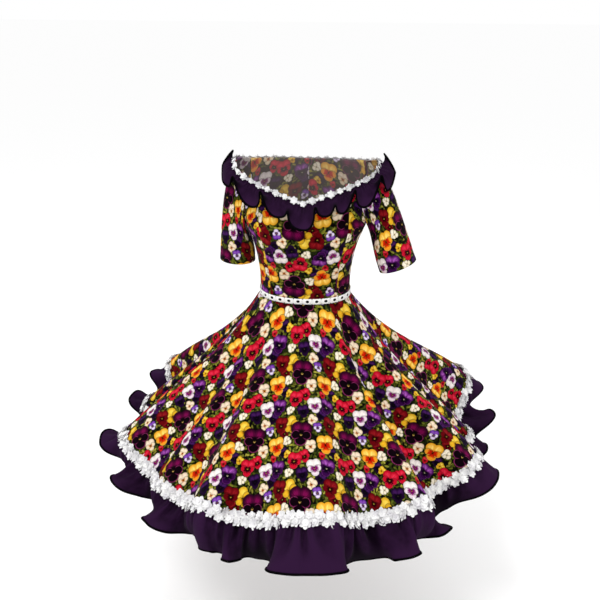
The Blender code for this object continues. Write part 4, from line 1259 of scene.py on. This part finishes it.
def make_binding(name, frill, out, length, material):
    """A strip folded round a frill's edge: a flattened tube with a soft outer fold."""
    edge = frill[-1]
    edge_out = out[-1]
    round_it = unit(np.roll(edge, -1, axis=0) - np.roll(edge, 1, axis=0))
    ahead = np.cross(round_it, edge_out)
    turn = np.linspace(0.0, -2 * math.pi, BINDING_SECTION + 1)[:, None, None]
    along_it, off_it = (
        np.sign(wave) * np.abs(wave) ** BINDING_SQUARENESS for wave in (np.cos(turn), np.sin(turn))
    )
    middle = edge + ahead * BINDING_WIDTH * BINDING_AHEAD
    points = middle + ahead * along_it * BINDING_WIDTH / 2 + edge_out * off_it * BINDING_THICKNESS / 2
    heights = np.linspace(0.0, 4 * BINDING_WIDTH, BINDING_SECTION + 1)
    mesh = grid_mesh(points, band_uv(length, len(edge), heights), closed=True)
    return add_piece(name, "fold", mesh, "binding", material)


def make_hem_frill(cloth, binding):
    stations = even_stations(lambda a: fold_plan(HEM_FOLDS, a), FRILL_COLUMNS, -90.0, ROUND_STEPS)
    t = np.linspace(0.0, 1.0, FRILL_ROWS + 1)
    grid = bezier(frill_curve(stations)[0], t[:, None, None])
    length = closed_length(grid[-1])
    gathers = irregular_wave(FRILL_COLUMNS, length, HEM_GATHERS)
    waves = irregular_wave(FRILL_COLUMNS, length, HEM_WAVES)
    start = grows(t, HEM_START)
    depth = np.outer(start * fades(t, HEM_GATHERS_END), gathers)
    depth = depth + np.outer(start * fades(t, HEM_WAVES_END), waves)
    up = run_lengths(grid)[-1].mean() * (1 - t)
    height = np.linalg.norm(grid[..., :2], axis=2)
    out = grid_out(grid, True)
    make_frill("hem_ruffle", grid, out, depth, up, height, HEM_SHADING, cloth, binding)


def neck_lobe_points(lobes, knots):
    """Each lobe's point: down the body or up from the seam, then out level."""
    height = neck_height(knots)
    rise = column(lobes, "rise")
    fall = np.minimum(rise, 0.0)
    body = torso(knots, height + fall) - torso(knots, height)
    stand = level_out(knots, height) * column(lobes, "stand")[:, None]
    up = np.outer(rise - fall, [0.0, 0.0, 1.0])
    return neck_band(knots, FRILL_SEAM, 0.0) + body + stand + up


def neck_edge(angle):
    """The frill's outer edge, through its lobes."""
    lobes, angle = come_round(NECK_LOBES, angle)
    knots = column(lobes, "angle")
    point = neck_lobe_points(lobes, knots)
    ahead = torso(knots + SMALL_ANGLE, NECK_POINT_HEIGHT)
    behind = torso(knots - SMALL_ANGLE, NECK_POINT_HEIGHT)
    hangs = column(lobes, "rise") < NECK_HANGS_BELOW
    curl = np.where(hangs, NECK_LOBE_CURL, NECK_NOTCH_CURL) * column(lobes, "curl")
    seam = neck_band(knots, FRILL_SEAM, 0.0)
    i, t = between_knots(knots, angle)
    gap = np.linalg.norm(seam[i + 1] - seam[i], axis=1)
    return rounded(point, unit(ahead - behind), curl, gap, i, t)


def neck_frill_grid(angle, t):
    """Two flat rows under the lace, then rows that bend out to the lobes' edge."""
    off = CLOTH + NECK_GAP
    seam = neck_band(angle, FRILL_SEAM, off)
    flat = neck_band(angle, FRILL_FLAT, off + FRILL_LIFT + over_sleeve(angle))
    out = neck_frame(angle)[2]
    edge = neck_edge(angle)
    reach = np.linalg.norm(edge - flat, axis=1)[:, None]
    middle = flat + unit(flat - seam) * reach * FRILL_AHEAD + out * reach * FRILL_OUT
    bent = bezier((flat, middle, edge), t[:, None, None])
    return np.concatenate([seam[None], (seam + flat)[None] / 2, bent])


def make_neck_frill(cloth, binding):
    angle = even_stations(neck_edge, NECK_FRILL_COLUMNS, -180.0, NECK_STEPS)
    grid = neck_frill_grid(angle, np.linspace(0.0, 1.0, NECK_FRILL_ROWS + 1))
    gathers = irregular_wave(NECK_FRILL_COLUMNS, closed_length(grid[-1]), NECK_GATHERS)
    rows = np.linspace(0.0, 1.0, len(grid))
    profile = grows(rows, NECK_START) * fades(rows, NECK_GATHERS_END)
    depth = np.outer(profile, gathers + NECK_GATHERS.height / 2)
    down = run_lengths(grid).mean(axis=1)
    height = np.einsum("rcd,cd->rc", grid - grid[:1], neck_frame(angle)[1])
    out = grid_out(grid, True)
    up = down[-1] - down
    make_frill("neck_ruffle", grid, out, depth, up, height, NECK_SHADING, cloth, binding)


# Raised-flower lace

FLOWER_PETALS = 6
FLOWER_LEAN = 0.2
LACE_GROUND_LIFT = 0.0007

# A ring of petals on a flower one unit in radius: where it starts and how high it sits, how far
# its tips rise, its turn against the ring below, and its rows across
PetalRing = namedtuple("PetalRing", "base length half_width height rise turn rows")
PETAL_RINGS = (
    PetalRing(0.08, 0.92, 0.35, 0.00, 0.20, 0.0, 5),
    PetalRing(0.04, 0.58, 0.25, 0.13, 0.55, 30.0, 4),
)
PETAL_COLUMNS = 4
PETAL_SPAN = (0.04, 0.49)
PETAL_CORNERS = 0.16
PETAL_FULLNESS = 1.2
PETAL_OVERLAP = 0.07
PETAL_TROUGH = 0.07
TROUGH_WIDTH = 0.35
BEAD_SIZE = (0.15, 0.15, 0.12)
BEAD_HEIGHT = 0.20
BEAD_SEGMENTS = 6
BEAD_RINGS = 4

HEM_FLOWER_PITCH = 0.0212
HEM_FLOWER_RADIUS = 0.0136
HEM_FLOWER_SIZES = (0.82, 1.12)
HEM_FLOWER_DRIFT = 0.002
HEM_FLOWER_LIFT = 0.0016
HEM_FLOWER_SEED = 21
HEM_DRIFT_SEED = 5
HEM_LACE_ROWS = (0.0115, 0.0062, 0.0, -0.0062, -0.0115)
HEM_SCALLOPS = 190
HEM_SCALLOP_STEPS = 6
HEM_SCALLOP = 0.45

# Along the neckline each large flower is followed by a small, a middling and a small one
NECK_FLOWERS = 42
NECK_FLOWER_RADIUS = 0.0100
NECK_FLOWER_SIZES = (1.0, 0.40, 0.80, 0.40)
NECK_FLOWER_PLACES = (0.0020, 0.0034, 0.0020, 0.0006)
NECK_FLOWER_LIFT = 0.00096
NECK_FLOWER_SEED = 22
NECK_LACE_ROWS = (-0.0035, 0.0, 0.0040, 0.0075)
NECK_SCALLOP_STEPS = 8
NECK_SCALLOP = 0.0028


def ball(segments, rings):
    """A unit ball as points and faces, its poles on the Z axis."""
    points = [(0.0, 0.0, 1.0)]
    for i in range(1, rings):
        a = math.pi * i / rings
        for j in range(segments):
            b = 2 * math.pi * j / segments
            points.append((math.sin(a) * math.cos(b), math.sin(a) * math.sin(b), math.cos(a)))
    points.append((0.0, 0.0, -1.0))
    faces = []
    last = len(points) - 1
    for j in range(segments):
        k = (j + 1) % segments
        faces.append((0, 1 + j, 1 + k))
        for i in range(rings - 2):
            a, b = 1 + i * segments, 1 + (i + 1) * segments
            faces.append((a + j, b + j, b + k, a + k))
        faces.append((last - segments + k, last - segments + j, last))
    return np.array(points), faces


def petal_form(ring):
    """One petal of a ring, along +X: cupped, with a trough down it and one edge over the next."""
    t = np.sin(np.linspace(*PETAL_SPAN, ring.rows + 1) * math.pi)[:, None]
    s = np.linspace(-1.0, 1.0, PETAL_COLUMNS + 1)[None, :]
    x = ring.base + ring.length * t * (1.0 - PETAL_CORNERS * s**2)
    y = s * ring.half_width * np.sqrt(t * (1.0 - t**6)) * PETAL_FULLNESS
    trough = PETAL_TROUGH * np.exp(-((s / TROUGH_WIDTH) ** 2))
    z = ring.height + ring.rise * x**2 + PETAL_OVERLAP * s * t - trough
    return np.stack(np.broadcast_arrays(x, y, z), -1)


def flower_form():
    """A double flower of radius one, flat on z = 0: two rings of wide petals round a bead."""
    parts = []
    for ring in PETAL_RINGS:
        petal = petal_form(ring)
        quads = grid_quads(*petal.shape[:2]).tolist()
        for k in range(FLOWER_PETALS):
            a = math.radians(360.0 / FLOWER_PETALS * k + ring.turn)
            turned = petal @ np.array(Matrix.Rotation(-a, 3, "Z"))
            parts.append((turned.reshape(-1, 3), quads))
    bead, bead_faces = ball(BEAD_SEGMENTS, BEAD_RINGS)
    parts.append((bead * BEAD_SIZE + [0.0, 0.0, BEAD_HEIGHT], bead_faces))
    starts = np.cumsum([0] + [len(points) for points, _ in parts]).tolist()
    faces = [
        tuple(start + i for i in face)
        for start, (_, part_faces) in zip(starts, parts)
        for face in part_faces
    ]
    return np.concatenate([points for points, _ in parts]), faces


def flower_band(node, places, outs, round_it, sizes, seed, material):
    """Flowers at places on a band, each with its own spin and a slight tilt."""
    form, form_faces = flower_form()
    dice = np.random.default_rng(seed)
    count = len(places)
    spin = dice.uniform(0, 2 * math.pi, count)[:, None]
    up = unit(outs + dice.normal(0.0, FLOWER_LEAN, (count, 3)))
    first = unit(np.cross(np.cross(up, round_it), up))
    x = first * np.cos(spin) + np.cross(up, first) * np.sin(spin)
    axes = np.stack([x, np.cross(up, x), up], 1)
    points = places[:, None] + np.einsum("nk,fkd->fnd", form, axes) * sizes[:, None, None]
    starts = np.arange(count) * len(form)
    faces = [tuple(start + i for i in face) for start in starts.tolist() for face in form_faces]
    shade_place = np.repeat(dice.uniform(0.0, 1.0, (count, 2)), len(form), axis=0)
    corner_points = np.concatenate([np.array(face) for face in faces])
    uv = (np.tile(form[:, :2], (count, 1)) * sizes.mean() + shade_place)[corner_points]
    return add_piece(node, "flowers", new_mesh(points.reshape(-1, 3), faces, uv), "lace", material)


def lace_ground(node, ground, length, rows, net):
    mesh = grid_mesh(ground, band_uv(length, ground.shape[1], rows), closed=True)
    return add_piece(node, "ground", mesh, "lace", net)


def scallops(columns, steps):
    """From 1 to 0 and back in each scallop of so many columns."""
    return 0.5 + 0.5 * np.cos(np.arange(columns) / steps * 2 * math.pi)


def hem_rows(stations):
    """The lace's rows on the outer face, above (positive) and below the seam of the frill."""
    above = [row for row in HEM_LACE_ROWS if row >= 0]
    below = np.array([row for row in HEM_LACE_ROWS if row < 0])
    curve, reach = frill_curve(stations)
    on_skirt = skirt_grid(stations, [1 - row / SKIRT_CLOTH for row in above])
    on_frill = bezier(curve, -below[:, None, None] / reach)
    return np.concatenate([on_skirt, on_frill])


def make_hem_lace(material, net):
    columns = HEM_SCALLOPS * HEM_SCALLOP_STEPS
    seam = even_stations(lambda a: fold_plan(SKIRT_FOLDS, a), columns, -90.0, ROUND_STEPS)
    grid = hem_rows(seam)
    out = grid_out(grid, True)
    length = closed_length(grid[HEM_LACE_ROWS.index(0.0)])
    off = CLOTH + LACE_GROUND_LIFT
    wave = scallops(columns, HEM_SCALLOP_STEPS)
    ground = grid + out * off
    ground[0] += (ground[1] - ground[0]) * (HEM_SCALLOP * wave)[:, None]
    ground[-1] += (ground[-2] - ground[-1]) * (HEM_SCALLOP * (1 - wave))[:, None]
    band = lace_ground("hem_lace", ground, length, HEM_LACE_ROWS, net)
    count = 2 * round(length / HEM_FLOWER_PITCH)
    index = np.arange(count)
    at = (np.where(index % 2 == 0, 1, 3), (index / count * columns).astype(int))
    outs = out[at]
    round_it = unit(np.roll(grid, -1, axis=1) - grid)[at]
    dice = np.random.default_rng(HEM_DRIFT_SEED)
    drift = dice.uniform(-HEM_FLOWER_DRIFT, HEM_FLOWER_DRIFT, (2, count, 1))
    places = grid[at] + outs * (off + HEM_FLOWER_LIFT)
    places = places + round_it * drift[0] + np.cross(round_it, outs) * drift[1]
    sizes = HEM_FLOWER_RADIUS * dice.uniform(*HEM_FLOWER_SIZES, count)
    flowers = flower_band("hem_lace", places, outs, round_it, sizes, HEM_FLOWER_SEED, material)


def make_neck_lace(material, net):
    fine = np.linspace(-180.0, 180.0, NECK_LACE_STEPS)
    line = neck_band(fine, 0.0, CLOTH)
    length = run_lengths(line)[-1]
    columns = NECK_FLOWERS * NECK_SCALLOP_STEPS
    angle = np.interp(np.arange(columns) / columns, length_fractions(line), fine)
    off = CLOTH + NECK_GAP + FRILL_CLOTH + LACE_GROUND_LIFT
    rows = np.array(NECK_LACE_ROWS)[:, None]
    scallop = np.array([NECK_SCALLOP, 0.0, 0.0, -NECK_SCALLOP])[:, None]
    down = rows + scallop * (1 - scallops(columns, NECK_SCALLOP_STEPS))
    ground = np.stack([neck_band(angle, d, off) for d in down])
    band = lace_ground("neck_lace", ground, length, NECK_LACE_ROWS, net)
    at = angle[:: NECK_SCALLOP_STEPS * 2 // len(NECK_FLOWER_SIZES)]
    kind = np.arange(len(at)) % len(NECK_FLOWER_SIZES)
    places = neck_band(at, np.array(NECK_FLOWER_PLACES)[kind], off + NECK_FLOWER_LIFT)
    outs = neck_frame(at)[2]
    round_it = unit(np.roll(places, -1, axis=0) - np.roll(places, 1, axis=0))
    sizes = NECK_FLOWER_RADIUS * np.array(NECK_FLOWER_SIZES)[kind]
    flowers = flower_band("neck_lace", places, outs, round_it, sizes, NECK_FLOWER_SEED, material)


# Waist trim

WAIST_COLUMNS = 240
RIBBON_ROWS = 5
RIBBON_LENGTH = 0.65
RIBBON_LIFT = 0.0006
RIBBON_CLOTH = 0.0005
EYELET_STEPS = 24
PICOT = 0.0005
PICOTS_EACH_CELL = 5
EDGE_CLOSE = 1e-6

# The rings round an eyelet: how many times its size and how far off the band, and the cell's edge
EYELET_RINGS = ((1.0, 0.0), (1.12, 0.0006), (1.45, 0.0002))
CELL_EDGE_LIFT = 0.0003


def make_waist(trim, ribbon_cloth):
    off = CLOTH + LAYER_GAP
    angle = np.linspace(-180.0, 180.0, WAIST_COLUMNS + 1)[:-1]
    heights = np.linspace(TRIM_WIDTH - RIBBON_COVER, RIBBON_COVER, RIBBON_ROWS)
    angles, levels = np.meshgrid(angle, heights)
    points = torso(angles, levels) + torso_out(angles, levels) * (off + RIBBON_LIFT)
    mesh = grid_mesh(points, band_uv(RIBBON_LENGTH, WAIST_COLUMNS, heights), closed=True)
    ribbon = add_piece("waist_ribbon", "strip", mesh, "ribbon", ribbon_cloth)
    give_thickness(ribbon, RIBBON_CLOTH)
    for half, name in enumerate(("waist_trim_front", "waist_trim_back")):
        make_trim_half(name, half, off + TRIM_CLOTH + LAYER_GAP, trim)


def make_trim_half(name, half, off, material):
    """A row of cells, each with an oval eyelet, with small picots along both edges."""
    fine = np.linspace(-90.0, 90.0, TRIM_STEPS) + 180.0 * half
    line = torso(fine, 0.0)[:, :2]
    length = run_lengths(line)[-1]
    cell = np.array([length / EYELETS_EACH_HALF, TRIM_WIDTH])
    turn = np.linspace(0.0, 2 * math.pi, EYELET_STEPS, endpoint=False) + math.pi / EYELET_STEPS
    around = np.stack([np.cos(turn), np.sin(turn)], -1)
    oval = around * [EYELET_WIDTH / 2, EYELET_HEIGHT / 2]
    edge = around / (np.abs(around) / (cell / 2)).max(axis=1, keepdims=True)
    x, y = edge.T.copy()
    wave = np.cos(x * 2 * math.pi / cell[0] * PICOTS_EACH_CELL)
    at_edge = np.abs(y) > TRIM_WIDTH / 2 - EDGE_CLOSE
    edge[:, 1] = y + PICOT * np.sign(y) * wave * at_edge
    rings = np.stack([oval * spread for spread, _ in EYELET_RINGS] + [edge])
    lifts = [lift for _, lift in EYELET_RINGS] + [CELL_EDGE_LIFT]
    middles = (np.arange(EYELETS_EACH_HALF) + 0.5) * cell[0]
    middles = np.stack([middles, np.full_like(middles, TRIM_WIDTH / 2)], -1)
    flat = (middles[:, None, None] + rings).reshape(-1, 2)
    lift = np.tile(np.repeat(lifts, EYELET_STEPS), EYELETS_EACH_HALF)
    starts = np.arange(EYELETS_EACH_HALF)[:, None, None] * len(rings) * EYELET_STEPS
    # each face starts at the next point of its inner ring
    quads = np.roll(grid_quads(len(rings), EYELET_STEPS, True), 1, axis=1)
    faces = (starts + quads).reshape(-1, 4)
    angle = np.interp(flat[:, 0] / length, length_fractions(line), fine)
    out = torso_out(angle, flat[:, 1])
    places = torso(angle, flat[:, 1]) + out * (off + lift)[:, None]
    obj = add_piece(name, "band", new_mesh(places, faces.tolist(), flat[faces]), "trim", material)
    give_thickness(obj, TRIM_CLOTH)


# Stage: a plain pale floor, soft studio light, and the camera at the photograph's angle

FLOOR_HEIGHT = -1.0
FLOOR_REACH = 400.0
FLOOR_ROUGHNESS = 0.9
PALE = (0.98, 0.98, 0.98, 1.0)
WHITE = (1.0, 1.0, 1.0, 1.0)
CAMERA_PLACE = (0.0952, -1.5441, 0.643)
CAMERA_TURNS = (("Z", 4.0), ("X", 66.6), ("Z", 0.5))
CAMERA_LENS = 39.0
SENSOR = 36.0

Lamp = namedtuple("Lamp", "place size power")
LAMPS = (
    Lamp((-0.9, -1.6, 2.8), 1.1, 52.0),
    Lamp((2.2, -1.8, 1.0), 1.8, 5.0),
    Lamp((0.3, 2.2, 2.0), 1.8, 14.0),
)


def make_stage():
    corners = np.array([(-1, -1, 0), (1, -1, 0), (1, 1, 0), (-1, 1, 0)]) * FLOOR_REACH
    corners[:, 2] = FLOOR_HEIGHT
    mesh = new_mesh(corners, [(0, 1, 2, 3)], corners[:, :2])
    floor = add_object("floor", mesh)
    pale = Nodes("pale floor", FLOOR_ROUGHNESS)
    pale.shader.inputs["Base Color"].default_value = PALE
    mesh.materials.append(pale.material)

    for i, lamp in enumerate(LAMPS):
        light = bpy.data.lights.new(f"lamp_{i}", "AREA")
        light.shape = "DISK"
        light.size = lamp.size
        light.energy = lamp.power
        aim = Vector(lamp.place).to_track_quat("Z", "Y").to_matrix().to_4x4()
        add_object(light.name, light).matrix_world = Matrix.Translation(lamp.place) @ aim

    scene = bpy.context.scene
    scene.world = bpy.data.worlds.new("studio")
    scene.world.use_nodes = True
    background = scene.world.node_tree.nodes["Background"]
    background.inputs["Color"].default_value = WHITE
    background.inputs["Strength"].default_value = 1.0
    scene.view_settings.view_transform = "Standard"


def make_camera():
    data = bpy.data.cameras.new("camera")
    data.lens = CAMERA_LENS
    data.sensor_width = SENSOR
    camera = add_object("camera", data)
    aim = Matrix.Translation(CAMERA_PLACE)
    for axis, degrees in CAMERA_TURNS:
        aim = aim @ Matrix.Rotation(math.radians(degrees), 4, axis)
    camera.matrix_world = aim
    bpy.context.scene.camera = camera


def make_dress():
    cloths = (print_material("print", 0.0), print_material("print wrong side", WRONG_SIDE_WASH))
    # the frills' purple, with painted shade in its fold hollows and a painted highlight on its crests
    purple = plain_material(PURPLE, folds=True)
    binding, lace = plain_material(BINDING), plain_material(LACE)
    net = net_material()
    ribbon, trim = plain_material(RIBBON), plain_material(TRIM)
    make_bodice(cloths)
    for sleeve in SLEEVES:
        make_sleeve(sleeve, cloths)
    make_skirt(cloths)
    make_hem_frill(purple, binding)
    make_hem_lace(lace, net)
    make_neck_frill(purple, binding)
    make_neck_lace(lace, net)
    make_waist(trim, ribbon)


make_dress()
make_stage()
make_camera()
